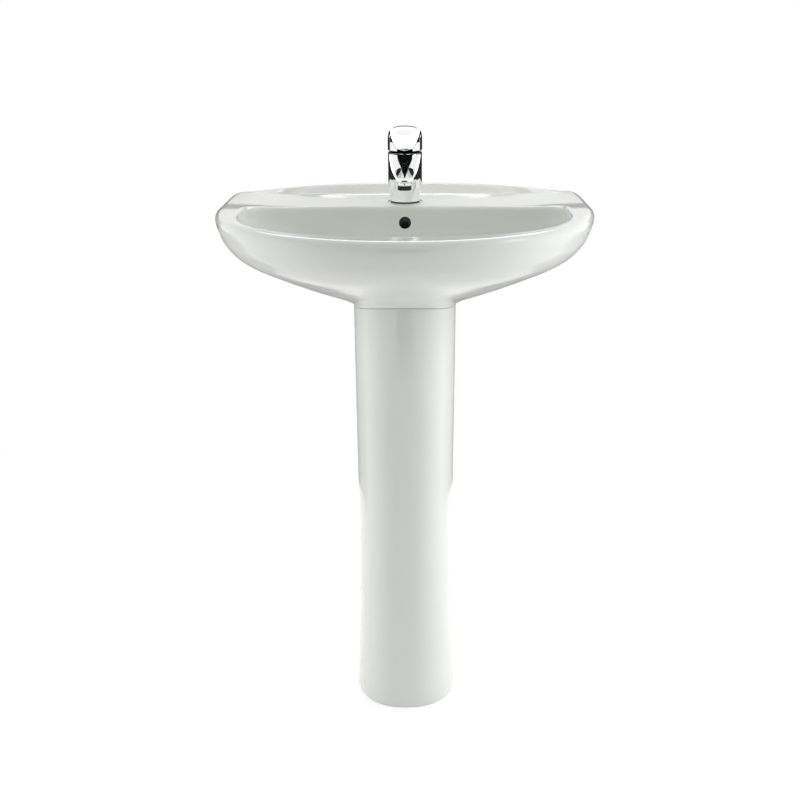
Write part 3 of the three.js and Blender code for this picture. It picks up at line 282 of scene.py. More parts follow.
def combine(obj, other, operation):
    step = obj.modifiers.new("combine", "BOOLEAN")
    step.operation = operation
    step.solver = "MANIFOLD"
    step.object = other
    bpy.context.view_layer.update()
    graph = bpy.context.evaluated_depsgraph_get()
    made = bpy.data.meshes.new_from_object(obj.evaluated_get(graph))
    obj.modifiers.clear()
    obj.data = made
    bpy.data.objects.remove(other)
    return obj


def cut(obj, other):
    return combine(obj, other, "DIFFERENCE")


def join(obj, other):
    return combine(obj, other, "UNION")


def block(name, low, high):
    x, y, z = zip(low, high)
    points = [(x[i], y[j], z[k]) for i in (0, 1) for j in (0, 1) for k in (0, 1)]
    faces = [(0, 1, 3, 2), (4, 6, 7, 5), (0, 4, 5, 1), (2, 3, 7, 6), (0, 2, 6, 4), (1, 5, 7, 3)]
    return from_faces(name, points, faces)


CREASE_DEGREES = {
    "basin": 50,
    "pedestal": 50,
    "tap_body": 30,
    "aerator_housing": 40,
    "lever_handle": 30,
    "cartridge_dome": 40,
    "tap_base_seal": 35,
}


def wear(obj, look):
    """Gives a piece one material only."""
    obj.data.materials.clear()
    obj.data.materials.append(LOOKS[look])


def finish(obj, slot, body, node):
    """Gives a piece its material and smooth shading, and sets it in place of its CAD node."""
    wear(obj, slot)
    obj.data.shade_smooth()
    obj.data.set_sharp_from_angle(angle=math.radians(CREASE_DEGREES[node]))
    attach(obj, body)
    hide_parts(node)


# Node materials

NOISE_DETAIL = 3.0
RAMP_ENDS = (0.3, 0.7)
GLOSS_SCALE_RATIO = 3
# A colour varies by its spread as a share, and the scales are those of the colour's and relief's noise.
MATERIALS = {
    "glaze": {"color": (0.745, 0.76, 0.722), "spread": 0.012, "roughness": 0.15, "rough_spread": 0.02,
              "metallic": 0.0, "scale": 6, "height": 0.00003, "height_scale": 120},
    "chrome": {"color": (0.93, 0.94, 0.94), "spread": 0.01, "roughness": 0.035, "rough_spread": 0.015,
               "metallic": 1.0, "scale": 30},
    "brass": {"color": (0.50, 0.31, 0.09), "spread": 0.08, "roughness": 0.3, "rough_spread": 0.08,
              "metallic": 1.0, "scale": 60, "height": 0.00002, "height_scale": 900},
    "steel": {"color": (0.45, 0.46, 0.47), "spread": 0.06, "roughness": 0.32, "rough_spread": 0.08,
              "metallic": 1.0, "scale": 60, "height": 0.00002, "height_scale": 900},
    "rubber": {"color": (0.04, 0.043, 0.044), "spread": 0.2, "roughness": 0.7, "rough_spread": 0.1,
               "metallic": 0.0, "scale": 80, "height": 0.00003, "height_scale": 1500},
    "white_plastic": {"color": (0.80, 0.80, 0.79), "spread": 0.02, "roughness": 0.4, "rough_spread": 0.06,
                      "metallic": 0.0, "scale": 40, "height": 0.00001, "height_scale": 900},
    "dark_plastic": {"color": (0.045, 0.05, 0.055), "spread": 0.1, "roughness": 0.42, "rough_spread": 0.08,
                     "metallic": 0.0, "scale": 60, "height": 0.00002, "height_scale": 900},
    "alumina": {"color": (0.87, 0.85, 0.81), "spread": 0.02, "roughness": 0.25, "rough_spread": 0.05,
                "metallic": 0.0, "scale": 60},
    # Painted shade: near-black glaze for the overflow's bore.
    "shaded_glaze": {"color": (0.022, 0.03, 0.027), "spread": 0.15, "roughness": 0.5, "rough_spread": 0.1,
                     "metallic": 0.0, "scale": 60, "height": 0.00002, "height_scale": 900},
    # Painted shade: near-black for the lever's hollow, the joint round the dome and the cap's lower edge.
    "casting_and_painted_shade": {"color": (0.012, 0.014, 0.014), "spread": 0.2, "roughness": 0.6, "rough_spread": 0.1,
                     "metallic": 0.0, "scale": 90, "height": 0.00004, "height_scale": 1200},
    # Painted shade: near-black metal for the shaded joint under the lever and the aerator's band.
    "painted_shade_metal": {"color": (0.035, 0.04, 0.04), "spread": 0.1, "roughness": 0.22, "rough_spread": 0.05,
                   "metallic": 1.0, "scale": 60, "height": 0.00001, "height_scale": 1500},
}
GLAZE_COAT = {"Coat Weight": 0.3, "Coat Roughness": 0.06}


def shader(name, color, roughness, metallic=0.0):
    material = bpy.data.materials.new(name)
    material.use_nodes = True
    principled = material.node_tree.nodes["Principled BSDF"]
    principled.inputs["Base Color"].default_value = (*color, 1)
    principled.inputs["Roughness"].default_value = roughness
    principled.inputs["Metallic"].default_value = metallic
    return material, material.node_tree, principled


def noise(tree, scale):
    place = tree.nodes.new("ShaderNodeTexCoord")
    texture = tree.nodes.new("ShaderNodeTexNoise")
    texture.inputs["Scale"].default_value = scale
    texture.inputs["Detail"].default_value = NOISE_DETAIL
    tree.links.new(place.outputs["Object"], texture.inputs["Vector"])
    return texture.outputs["Fac"]


def ramp(tree, source, low, high):
    """Colours or greys from low to high along a noise value."""
    node = tree.nodes.new("ShaderNodeValToRGB")
    for element, position, color in zip(node.color_ramp.elements, RAMP_ENDS, (low, high)):
        element.position = position
        element.color = (*color, 1)
    tree.links.new(source, node.inputs["Fac"])
    return node.outputs["Color"]


def bump(tree, principled, source, height):
    node = tree.nodes.new("ShaderNodeBump")
    node.inputs["Distance"].default_value = height
    node.inputs["Strength"].default_value = 1.0
    tree.links.new(source, node.inputs["Height"])
    tree.links.new(node.outputs["Normal"], principled.inputs["Normal"])


def varied(name, color, spread, roughness, rough_spread, metallic, scale, height=0.0, height_scale=0):
    """A material whose colour, gloss and surface vary a little at the scales given."""
    material, tree, principled = shader(name, color, roughness, metallic)
    low = tuple(c * (1 - spread) for c in color)
    high = tuple(min(c * (1 + spread), 1.0) for c in color)
    shade = ramp(tree, noise(tree, scale), low, high)
    tree.links.new(shade, principled.inputs["Base Color"])
    rough_low = (roughness - rough_spread,) * 3
    rough_high = (roughness + rough_spread,) * 3
    gloss = ramp(tree, noise(tree, scale * GLOSS_SCALE_RATIO), rough_low, rough_high)
    tree.links.new(gloss, principled.inputs["Roughness"])
    if height > 0:
        bump(tree, principled, noise(tree, height_scale), height)
    return material


# Every slot of the record has a material of its own name, and three dark ones are only painted on, as
# painted shade.
LOOKS = {name: varied(name, **values) for name, values in MATERIALS.items()}
for name, value in GLAZE_COAT.items():
    LOOKS["glaze"].node_tree.nodes["Principled BSDF"].inputs[name].default_value = value


# Plan curves and heights of the basin

# Fine steps in each step of a plan curve, and in each span of a table's curve
FINE_STEPS = 8
SPAN_STEPS = 16


def smooth(t):
    u = np.clip(t, 0, 1)
    return u * u * (3 - 2 * u)


def rise_from_zero(t, fillet):
    """The larger of t and 0, with a round fillet between the two."""
    return np.where(t < -fillet, 0, np.where(t < fillet, (t + fillet) ** 2 / (4 * fillet), t))


def lerp(a, b, t):
    return a + (b - a) * t


def soft_min(value, limit, blend):
    h = np.maximum(blend - np.abs(value - limit), 0) / blend
    return np.minimum(value, limit) - h * h * blend / 4


def oval(turn, half, centre, front, back, front_share, back_share, limit=None):
    c, s = np.cos(turn), np.sin(turn)
    power = np.where(s < 0, 1 - front_share, 1 - back_share)
    reach = np.where(s < 0, centre - front, back - centre)
    x = half * np.sign(c) * np.abs(c) ** power
    y = centre + reach * np.sign(s) * np.abs(s) ** power
    if limit is not None:
        y = soft_min(y, limit, BASIN["corner_blend"])
    return x, y


def top_height(x, y):
    fall = BASIN["deck_fall"] * smooth((y - BASIN["fall_start"]) / (DECK_FRONT - BASIN["fall_start"]))
    along = np.clip((y - DECK_FRONT) / (LEDGE_Y - DECK_FRONT), 0, 1)
    middle = BASIN["rim"] - fall + BASIN["deck_rise"] * along
    # At the sides the rim falls less and stays level behind.
    side = BASIN["rim"] - fall * SIDE_FALL_SHARE
    z = lerp(middle, side, smooth((np.abs(x) - BASIN["side_start"]) / BASIN["side_blend"]))
    arch = np.maximum(1 - np.abs(x / (HALF - BASIN["ledge_inset"])) ** LEDGE_POWER, 0)
    up = (y - LEDGE_Y) / BASIN["ledge_run"]
    step = rise_from_zero(up, LEDGE_FILLET_SHARE) - rise_from_zero(up - 1, LEDGE_FILLET_SHARE)
    return z + BASIN["ledge_rise"] * arch * step


def seam_height(turn):
    forward = np.maximum(-np.sin(turn), 0)
    return PEDESTAL["seam"] + PEDESTAL["seam_rise"] * forward * forward


def outer_oval(turn, reach, inset):
    narrow = PEDESTAL["top_half"] + BASIN["seam_lip"]
    return oval(
        turn,
        lerp(narrow, HALF, reach) - inset,
        lerp(PEDESTAL["widest_y"], BASIN["widest_y"], reach),
        lerp(PEDESTAL["front"] - BASIN["seam_lip"], FRONT_Y, reach) + inset,
        lerp(PEDESTAL["back"] + BASIN["seam_lip"] - inset, BASIN["rear_reach"], reach),
        lerp(SEAM_SHARES["front"], RIM_SHARES["front"], reach),
        lerp(SEAM_SHARES["back"], RIM_SHARES["back"], reach),
        WALL_Y - min(inset, BASIN["back_roll"]),
    )


def bowl_oval(turn, outset, wide, back):
    return oval(
        turn,
        lerp(BOWL["floor_radius"], HALF - BOWL["side_rim"], wide) + outset,
        lerp(0, BOWL["widest_y"], wide),
        lerp(-BOWL["floor_radius"], FRONT_Y + BOWL["front_rim"], wide) - outset,
        lerp(BOWL["floor_radius"], BOWL_BACK, back) + outset,
        BOWL_EDGE_SHARES["front"] * wide,
        BOWL_EDGE_SHARES["back"] * wide,
    )


def pedestal_oval(turn, height, inset):
    above = max(height - PEDESTAL["waist"], 0) / (PEDESTAL["seam"] - PEDESTAL["waist"])
    below = max(PEDESTAL["waist"] - height, 0) / PEDESTAL["waist"]
    upper = (PEDESTAL["top_half"] - PEDESTAL["waist_half"]) * above
    lower = (PEDESTAL["foot_half"] - PEDESTAL["waist_half"]) * below ** FOOT_POWER
    return oval(
        turn,
        PEDESTAL["waist_half"] + upper + lower - inset,
        PEDESTAL["widest_y"],
        PEDESTAL["front"] + inset,
        PEDESTAL["back"] - inset,
        SEAM_SHARES["front"],
        SEAM_SHARES["back"],
    )


def even_turns(curve, count):
    """Angles, from 0, that space a closed plan curve evenly."""
    fine = np.linspace(0, 2 * np.pi, FINE_STEPS * count + 1)
    x, y = curve(fine)
    length = np.concatenate([[0], np.cumsum(np.hypot(np.diff(x), np.diff(y)))])
    return np.interp(np.linspace(0, length[-1], count + 1)[:-1], length, fine)


def ring(xy, z):
    x, y = xy
    return np.column_stack([x, y, np.broadcast_to(z, x.shape)])


def circle(turn, radius, z):
    return ring((radius * np.cos(turn), radius * np.sin(turn)), z)


def spline(points, count):
    """Evenly spaced points of a smooth curve through a table's points."""
    table = np.asarray(points, float)
    ends = np.vstack([2 * table[0] - table[1], table, 2 * table[-1] - table[-2]])
    fine = []
    for i in range(1, len(ends) - 2):
        t = np.linspace(0, 1, SPAN_STEPS, endpoint=False)[:, None]
        p0, p1, p2, p3 = ends[i - 1:i + 3]
        fine.append(0.5 * (2 * p1 + (p2 - p0) * t + (2 * p0 - 5 * p1 + 4 * p2 - p3) * t ** 2
                           + (3 * p1 - p0 - 3 * p2 + p3) * t ** 3))
    fine = np.vstack([*fine, table[-1:]])
    length = np.concatenate([[0], np.cumsum(np.hypot(*np.diff(fine, axis=0).T))])
    even = np.linspace(0, length[-1], count)
    return np.column_stack([np.interp(even, length, fine[:, k]) for k in (0, 1)])


# Outer face from the rim's edge to the pedestal: [share of reach, share of fall].
OUTER_SHARES = [
    (1, 0.08), (0.993, 0.14), (0.976, 0.207), (0.952, 0.287), (0.916, 0.357), (0.87, 0.42), (0.812, 0.472),
    (0.742, 0.52), (0.668, 0.565), (0.585, 0.615), (0.493, 0.668), (0.401, 0.72), (0.309, 0.768),
    (0.217, 0.815), (0.124, 0.867), (0.065, 0.923), (0.018, 0.975), (0, 1),
]
FADE_SHARES = {"deck": 0.5, "seam_start": 0.005, "seam_end": 0.125, "edge_start": 0.9, "edge_run": 0.1}
BASIN_COUNTS = {"turn": 256, "bowl": 40, "lip": 8, "deck": 72, "roll": 8, "outer": 64, "edge": 4}
HOLLOW_COUNTS = {"turn": 64, "casing": 32, "channel": 16, "path": 40, "overflow": 64, "wall_hole": 48}
COLUMN_COUNTS = {"turn": 160, "height": 60, "edge": 5}
# The column's rings: inset of the foot's edge and first ring in foot radii, last ring in edge radii.
COLUMN_SHARES = {"foot_inset": 0.6, "first": 1.6, "last": 4}


def bowl_ring(turn, depth_share):
    wide = (1 - depth_share ** BOWL_POWERS["side"]) ** BOWL_POWERS["side_round"]
    back = (1 - depth_share ** BOWL_POWERS["back"]) ** BOWL_POWERS["back_round"]
    x, y = bowl_oval(turn, 0, wide, back)
    top = LOW_DECK - BOWL["lip"]
    falling = (top_height(x, y) - BOWL["lip"] - top) * (1 - depth_share)
    return ring((x, y), lerp(top, BOWL["floor"], depth_share) + falling)


def lip_ring(turn, angle):
    x, y = bowl_oval(turn, BOWL["lip"] * (1 - math.cos(angle)), 1, 1)
    return ring((x, y), top_height(x, y) - BOWL["lip"] * (1 - math.sin(angle)))


def deck_ring(turn, share):
    inner = bowl_oval(turn, BOWL["lip"], 1, 1)
    outer = outer_oval(turn, 1, BASIN["roll"])
    x, y = lerp(inner[0], outer[0], share), lerp(inner[1], outer[1], share)
    return ring((x, y), top_height(x, y))


def roll_ring(turn, angle):
    fall = BASIN["body"] * OUTER_SHARES[0][1]
    x, y = outer_oval(turn, 1, BASIN["roll"] * (1 - math.sin(angle)))
    return ring((x, y), top_height(x, y) - fall * (1 - math.cos(angle)))


def outer_ring(turn, reach_share, fall_share, lift=0.0, inset=0.0):
    near_seam = 1 - smooth((reach_share - FADE_SHARES["seam_start"])
                           / (FADE_SHARES["seam_end"] - FADE_SHARES["seam_start"]))
    x, y = outer_oval(turn, reach_share, inset)
    level = BASIN["rim"] - BASIN["body"] * fall_share
    fading = (top_height(x, y) - BASIN["rim"]) * (1 - smooth(fall_share / FADE_SHARES["deck"]))
    return ring((x, y), level + fading + (seam_height(turn) - PEDESTAL["seam"]) * near_seam + lift)


def quarter(count):
    return [math.pi / 2 * i / count for i in range(count + 1)]


def basin_rings():
    counts = BASIN_COUNTS
    turn = even_turns(lambda t: outer_oval(t, 1, 0), counts["turn"])
    floor, seat = BOWL["floor"], BOWL["floor"] - BOWL["seat_depth"]
    boss = PEDESTAL["seam"] + BASIN["boss_rise"]
    rings = [
        circle(turn, BASIN["boss_radius"], boss),
        circle(turn, BOWL["drain_radius"], boss),
        circle(turn, BOWL["drain_radius"], seat),
        circle(turn, BOWL["seat_radius"], seat),
        circle(turn, BOWL["seat_radius"], floor - BASIN["edge"] / 2),
    ]
    for i in range(counts["bowl"] + 1):
        share = math.cos(math.pi / 2 * i / counts["bowl"]) ** BOWL_RING_POWER
        rings.append(bowl_ring(turn, share))
    rings += [lip_ring(turn, angle) for angle in quarter(counts["lip"])[1:-1]]
    rings += [deck_ring(turn, i / counts["deck"]) for i in range(counts["deck"] + 1)]
    rings += [roll_ring(turn, angle) for angle in quarter(counts["roll"])[1:-1]]
    outer = spline(OUTER_SHARES, counts["outer"])
    edge = BASIN["edge"]
    for reach, fall in outer:
        lift = edge * smooth((fall - FADE_SHARES["edge_start"]) / FADE_SHARES["edge_run"])
        rings.append(outer_ring(turn, max(reach, 0), min(fall, 1), lift))
    for angle in quarter(counts["edge"])[1:]:
        rings.append(outer_ring(turn, 0, 1, edge * (1 - math.sin(angle)), edge * (1 - math.cos(angle))))
    joint = pedestal_oval(turn, PEDESTAL["seam"], PEDESTAL["wall"] + PEDESTAL["seam_gap"])
    rings.append(ring(joint, seam_height(turn)))
    return rings


def service_hollow():
    turn = np.linspace(0, 2 * np.pi, HOLLOW_COUNTS["turn"], endpoint=False)
    low = PEDESTAL["seam"] - SERVICE["wall"]
    narrow_end = lerp(low, DECK_UNDER, SERVICE["narrow_share"])
    wide_start = lerp(low, DECK_UNDER, SERVICE["wide_share"])
    back = WALL_Y - SERVICE["wall"]
    rings = []
    for z, share in [(low, 0), (narrow_end, 0), (wide_start, 1), (DECK_UNDER, 1)]:
        front = lerp(SERVICE["low_front"], SERVICE["front"], share)
        half = lerp(SERVICE["low_half"], SERVICE["half"], share)
        plan = oval(turn, half, (front + back) / 2, front, back, HOLLOW_SHARE, HOLLOW_SHARE)
        rings.append(ring(plan, z))
    return loft("service_hollow", rings)


def swept(name, path, radius, sides):
    """A round bar of one radius along points of the plane X = 0."""
    path = np.asarray(path, float)
    along = np.gradient(path, axis=0)
    along /= np.linalg.norm(along, axis=1)[:, None]
    turn = np.linspace(0, 2 * np.pi, sides, endpoint=False)
    rings = []
    for (y, z), (dy, dz) in zip(path, along):
        aside, across = radius * np.cos(turn), radius * np.sin(turn)
        rings.append(np.column_stack([aside, y - across * dz, z + across * dy]))
    return loft(name, rings)


# Overflow channel: (share of the way forward to the waste, share of the fall).
CHANNEL_SHARES = [(0, 0), (-0.04, 0.2), (0, 0.54), (0.195, 0.85), (0.55, 1), (1, 1)]


def channel_path():
    start, end = BOWL_BACK + OVERFLOW["channel"], BOWL["drain_radius"] - OVERFLOW["channel"]
    path = []
    for forward, fall in spline(CHANNEL_SHARES, HOLLOW_COUNTS["path"]):
        path.append((lerp(start, end, forward), lerp(OVERFLOW["height"], OVERFLOW["low"], fall)))
    return path


# Tolerances of the painted faces
PAINT = {
    "reach": 0.0002,
    "over_edge": 0.0001,
    "over_joint": 0.0003,
    "before_hollow": 0.001,
    "before_bore_end": 0.001,
    "bore_height_share": 1.4,
    "bore_facing": 0.7,
    "rib_facing": -0.5,
    "rib_drops": 2,
}


def paint(obj, look, inside):
    """Gives a second material to the faces whose centres and normals the test accepts."""
    obj.data.materials.append(LOOKS[look])
    index = len(obj.data.materials) - 1
    for face in obj.data.polygons:
        if inside(face.center, face.normal):
            face.material_index = index


def in_overflow(centre, normal):
    """The bore behind the bowl's wall, and the channel where it meets the bore: faces painted near black as
    painted shade of the deep hole.
    """
    radius, end = OVERFLOW["radius"] + PAINT["reach"], OVERFLOW["end"]
    if abs(centre.x) > radius or abs(centre.z - OVERFLOW["height"]) > PAINT["bore_height_share"] * radius:
        return False
    if centre.y < OVERFLOW["start"] or centre.y >= end + OVERFLOW["channel"]:
        return False
    return abs(normal.y) < PAINT["bore_facing"] or centre.y > end - PAINT["before_bore_end"]


def make_basin():
    body = loft("basin_shell", basin_rings(), looped=True)
    path = channel_path()
    casing = swept("casing", path, OVERFLOW["casing"], HOLLOW_COUNTS["casing"])
    cut(body, cut(service_hollow(), casing))
    low = PEDESTAL["seam"] - SERVICE["wall"] - HALF
    start = (-HALF, PEDESTAL["back"] + BASIN["seam_lip"], low)
    cut(body, block("underside", start, (HALF, HALF, BOWL["floor"])))
    pad = cylinder("pad", PAD_RADIUS, PAD - PAST, PAD, PAD_EDGE)
    join(body, move(pad, (0, TAP_Y, 0)))
    clear = cylinder("pad_clear", PAD_RADIUS, PAD, PAD + PAST)
    cut(body, move(clear, (0, TAP_Y, 0)))
    hole = cylinder("tap_hole", TAP_HOLE_RADIUS, DECK_UNDER - PAST, PAD + PAST)
    cut(body, move(hole, (0, TAP_Y, 0)))
    overflow = cylinder("overflow_cut", OVERFLOW["radius"], OVERFLOW["start"], OVERFLOW["end"],
                        sides=HOLLOW_COUNTS["overflow"])
    cut(body, laid(overflow, (0, 0, OVERFLOW["height"])))
    cut(body, swept("channel", path, OVERFLOW["channel"], HOLLOW_COUNTS["channel"]))
    for side in (-1, 1):
        hole = cylinder("wall_hole", WALL_HOLE["radius"], WALL_HOLE["start"], WALL_HOLE["end"],
                        sides=HOLLOW_COUNTS["wall_hole"])
        cut(body, laid(hole, (side * WALL_HOLE["x"], 0, WALL_HOLE["z"])))
    finish(body, "glaze", "sink", "basin")
    # The overflow's bore is painted near-black glaze: painted shade, not the glaze's own colour.
    paint(body, "shaded_glaze", in_overflow)


def make_pedestal():
    counts = COLUMN_COUNTS
    turn = even_turns(lambda t: pedestal_oval(t, 0, 0), counts["turn"])
    foot, edge, seam = PEDESTAL["foot_radius"], PEDESTAL["edge"], PEDESTAL["seam"]
    top = seam_height(turn) - PEDESTAL["seam_gap"]
    first, last = foot * COLUMN_SHARES["first"], seam - COLUMN_SHARES["last"] * edge
    rings = []
    for angle in quarter(counts["edge"]):
        inset = foot * COLUMN_SHARES["foot_inset"] * (1 - math.sin(angle))
        rings.append(ring(pedestal_oval(turn, 0, inset), foot * (1 - math.cos(angle))))
    for z in np.linspace(first, last, counts["height"]):
        rings.append(ring(pedestal_oval(turn, z, 0), z))
    for angle in quarter(counts["edge"]):
        xy = pedestal_oval(turn, seam, edge * (1 - math.cos(angle)))
        rings.append(ring(xy, top - edge * (1 - math.sin(angle))))
    for angle in quarter(counts["edge"]):
        xy = pedestal_oval(turn, seam, PEDESTAL["wall"] - edge * (1 - math.sin(angle)))
        rings.append(ring(xy, top - edge * (1 - math.cos(angle))))
    for z in np.linspace(last, 0, counts["height"] // 2):
        rings.append(ring(pedestal_oval(turn, z, PEDESTAL["wall"]), z))
    body = loft("pedestal_column", rings, looped=True)
    side, past = PEDESTAL["opening"] / 2, PEDESTAL["opening_past"]
    start = (-side, PEDESTAL["opening_start"], -past)
    cut(body, block("opening", start, (side, PEDESTAL["back"] + past, PEDESTAL["opening_top"])))
    finish(body, "glaze", "sink", "pedestal")


# Places and sizes of the tap, the boxes read from the frame
TAP_LOW, TAP_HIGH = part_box("tap_body")
SEAL_LOW, SEAL_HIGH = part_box("tap_base_seal")
TAP_Y = (SEAL_LOW[1] + SEAL_HIGH[1]) / 2
TAP_BASE, TAP_TOP = TAP_LOW[2], TAP_HIGH[2]
PAD_RISE = 0.001
PAD = LOW_DECK + PAD_RISE
PAD_RADIUS = 0.029
PAD_EDGE = 0.0006
TAP_HOLE_RADIUS = 0.0175
TAP = {
    "base": 0.0245,
    "radius": 0.028,
    "flare": 0.028,
    "edge": 0.0009,
    "cavity": 0.0182,
    "nut_cavity": 0.021,
    "nut_depth": 0.007,
    "cavity_depth": 0.0366,
    "inlet": 0.0052,
    "inlet_x": 0.0075,
    "inlet_forward": 0.005,
    "stud": 0.0042,
    "stud_y": 0.012,
    "hole_depth": 0.018,
}
SPOUT = {
    "root_drop": 0.001,
    "root_half": 0.026,
    "tip_half": 0.015,
    "tip_thickness": 0.0065,
    "underside": 0.0451,
    "edge": 0.0016,
    "start_share": 0.26,
}
SPOUT_REACH = TAP_Y - TAP_LOW[1]
LEVER_LOW, LEVER_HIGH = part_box("lever_handle")
LEVER = {
    "radius": LEVER_HIGH[0],
    "shoulder_drop": 0.018,
    "bottom_rise": 0.0015,
    "edge": 0.0008,
    "root_half": 0.025,
    "tip_half": 0.0145,
    "root_drop": 0.003,
    "tip_top": 0.014,
    "underside": 0.0097,
    "top_edge": 0.0011,
    "side_edge": 0.001,
    "hollow_half": 0.0148,
    "hollow_start": 0.018,
    "hollow_end": 0.072,
    "hollow_depth": 0.0055,
    "hollow_tip": 0.0005,
    "keel_lip": 0.001,
    "keel_edge": 0.0002,
    "flank": 0.0008,
    "plate": 0.0026,
    "rib_drop": 0.0012,
    "rib": ((-0.0029, 0.032), (0.0029, 0.045)),
    "bar": ((-0.0075, 0.0476), (0.0075, 0.052)),
    "screw_height": 0.031,
    "plug_bore": 0.0035,
    "plug_start": 0.0249,
    "plug_length": 0.03,
    "socket": 0.0043,
    "socket_top": 0.0363,
}
LEVER_REACH = TAP_Y - LEVER_LOW[1]
LEVER_MOUTH = TAP_TOP + LEVER["underside"]
PIVOT = 0.9116
LEAN = math.radians(12.5)
LIFT = math.radians(25)
LIFT_STEPS = 8
DOME = {"radius": 0.02785, "wall": 0.0015, "mouth": 0.0115, "clear": 0.0008}
SEAL = {"bore": 0.0185, "edge": 0.0006}
TAP_COUNTS = {"body": 160, "flare": 14, "edge": 5, "spout": 56, "tip": 4, "hole": 32}
LEVER_COUNTS = {"cap": 160, "edge": 5, "wall": 10, "crown": 28, "tongue": 50, "tip": 4, "hollow": 12,
                "ball": 48, "bore": 48}
DOME_COUNTS = {"round": 128, "arc": 16}
# The cap's rings: radius of the first and last ring, and where the upright wall starts.
CAP_SHARES = {"first": 0.3, "last": 0.01, "wall": 0.15}

# Narrowing of the spout and the lever: (share of the reach, share of the narrowing).
SPOUT_SHARES = [(0, 0), (0.26, 0.02), (0.55, 0.25), (0.8, 0.62), (0.92, 1), (0.975, 1.35), (1, 1.8)]
LEVER_SHARES = [(0, 0), (0.35, 0.18), (0.65, 0.55), (0.87, 0.85), (0.96, 1.1), (1, 1.6)]
CROWN_SHARES = [(1, 0), (0.96, 0.38), (0.84, 0.67), (0.6, 0.88), (0.3, 0.975), (0, 1)]


def section(corners, radii, forward):
    """A ring across Y from [x, z] corners, each with its own edge radius."""
    points = []
    for i, corner in enumerate(corners):
        points.extend(corner_arc(corners[i - 1], corner, corners[(i + 1) % len(corners)], radii[i]))
    return [(x, TAP_Y - forward, z) for x, z in points]


def make_spout():
    edge, low = SPOUT["edge"], PAD + SPOUT["underside"]
    root, tip = TAP_TOP - SPOUT["root_drop"], low + SPOUT["tip_thickness"]
    rings = []
    for along, narrowing in spline(SPOUT_SHARES, TAP_COUNTS["spout"]):
        fall = max(along - SPOUT["start_share"], 0) / (1 - SPOUT["start_share"])
        half = lerp(SPOUT["root_half"], SPOUT["tip_half"], narrowing)
        high = lerp(root, tip, fall)
        corners = [(-half, low), (half, low), (half, high), (-half, high)]
        rings.append(section(corners, [edge] * 4, along * (SPOUT_REACH - edge)))
    for angle in quarter(TAP_COUNTS["tip"])[1:]:
        inset = edge * (1 - math.cos(angle))
        side, bottom, top = half - inset, low + inset, high - inset
        corners = [(-side, bottom), (side, bottom), (side, top), (-side, top)]
        rings.append(section(corners, [edge] * 4, SPOUT_REACH - edge * (1 - math.sin(angle))))
    return loft("spout", rings)


def flare(steps):
    """The body's side from its base, drawn out in a soft S to its full radius."""
    points = []
    for i in range(steps + 1):
        share = i / steps
        points.append((lerp(TAP["base"], TAP["radius"], smooth(share)), TAP_BASE + TAP["flare"] * share))
    return points


def make_tap_body():
    top, edge, radius = TAP_TOP, TAP["edge"], TAP["radius"]
    arc = [(radius - edge * (1 - math.cos(a)), top - edge * (1 - math.sin(a)))
           for a in quarter(TAP_COUNTS["edge"])]
    ledge, floor = top - TAP["nut_depth"], top - TAP["cavity_depth"]
    steps = [(TAP["nut_cavity"], ledge), (TAP["cavity"], ledge), (TAP["cavity"], floor), (0, floor)]
    profile = [(0, TAP_BASE), *flare(TAP_COUNTS["flare"]), *arc, (TAP["nut_cavity"], top), *steps]
    body = move(turned("mixer_body", profile, sides=TAP_COUNTS["body"]), (0, TAP_Y, 0))
    join(body, make_spout())
    well = turned("well", [*reversed(steps), (TAP["nut_cavity"], top + PAST), (0, top + PAST)])
    cut(body, move(well, (0, TAP_Y, 0)))
    holes = [(side * TAP["inlet_x"], -TAP["inlet_forward"], TAP["inlet"]) for side in (-1, 1)]
    for x, y, size in [*holes, (0, TAP["stud_y"], TAP["stud"])]:
        hole = cylinder("fixing_hole", size, TAP_BASE - PAST, TAP_BASE + TAP["hole_depth"],
                        sides=TAP_COUNTS["hole"])
        cut(body, move(hole, (x, TAP_Y + y, 0)))
    clear = AERATOR["clear"]
    neck = cylinder("neck", AERATOR["neck"] + clear, AERATOR_LOW[2], AERATOR_HIGH[2] + clear)
    cut(body, move(neck, (0, AERATOR_Y, 0)))
    finish(body, "chrome", "sink", "tap_body")
    # The body's top edge and face under the lever are painted near-black metal: painted shade of the
    # joint's gap.
    paint(body, "painted_shade_metal",
          lambda centre, normal: centre.z > top - edge and centre.y > TAP_Y - radius)


AERATOR_LOW, AERATOR_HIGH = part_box("aerator_housing")
AERATOR_Y = (AERATOR_LOW[1] + AERATOR_HIGH[1]) / 2
AERATOR = {
    "radius": AERATOR_HIGH[0],
    "neck": 0.0103,
    "bore": 0.0096,
    "neck_length": 0.004,
    "collar": 0.0042,
    "groove": 0.0006,
    "edge": 0.0003,
    "clear": 0.0003,
}


def make_aerator():
    low, top, high = AERATOR_LOW[2], AERATOR_HIGH[2] - AERATOR["neck_length"], AERATOR_HIGH[2]
    radius, collar = AERATOR["radius"], top - AERATOR["collar"]
    inner = radius - AERATOR["groove"]
    outline = [(AERATOR["bore"], low), (inner, low), (inner, collar), (radius, collar), (radius, top),
               (AERATOR["neck"], top), (AERATOR["neck"], high), (AERATOR["bore"], high)]
    housing = move(turned("aerator_ring", outline, AERATOR["edge"]), (0, AERATOR_Y, 0))
    finish(housing, "chrome", "sink", "aerator_housing")
    # The aerator's band below the collar is painted near-black metal: painted shade under the spout.
    paint(housing, "painted_shade_metal", lambda centre, normal: centre.z < collar - PAINT["reach"])


def lever_bottom(y):
    slope = LEVER["bottom_rise"] / (2 * LEVER["radius"])
    return LEVER_LOW[2] + (y + LEVER["radius"]) * slope


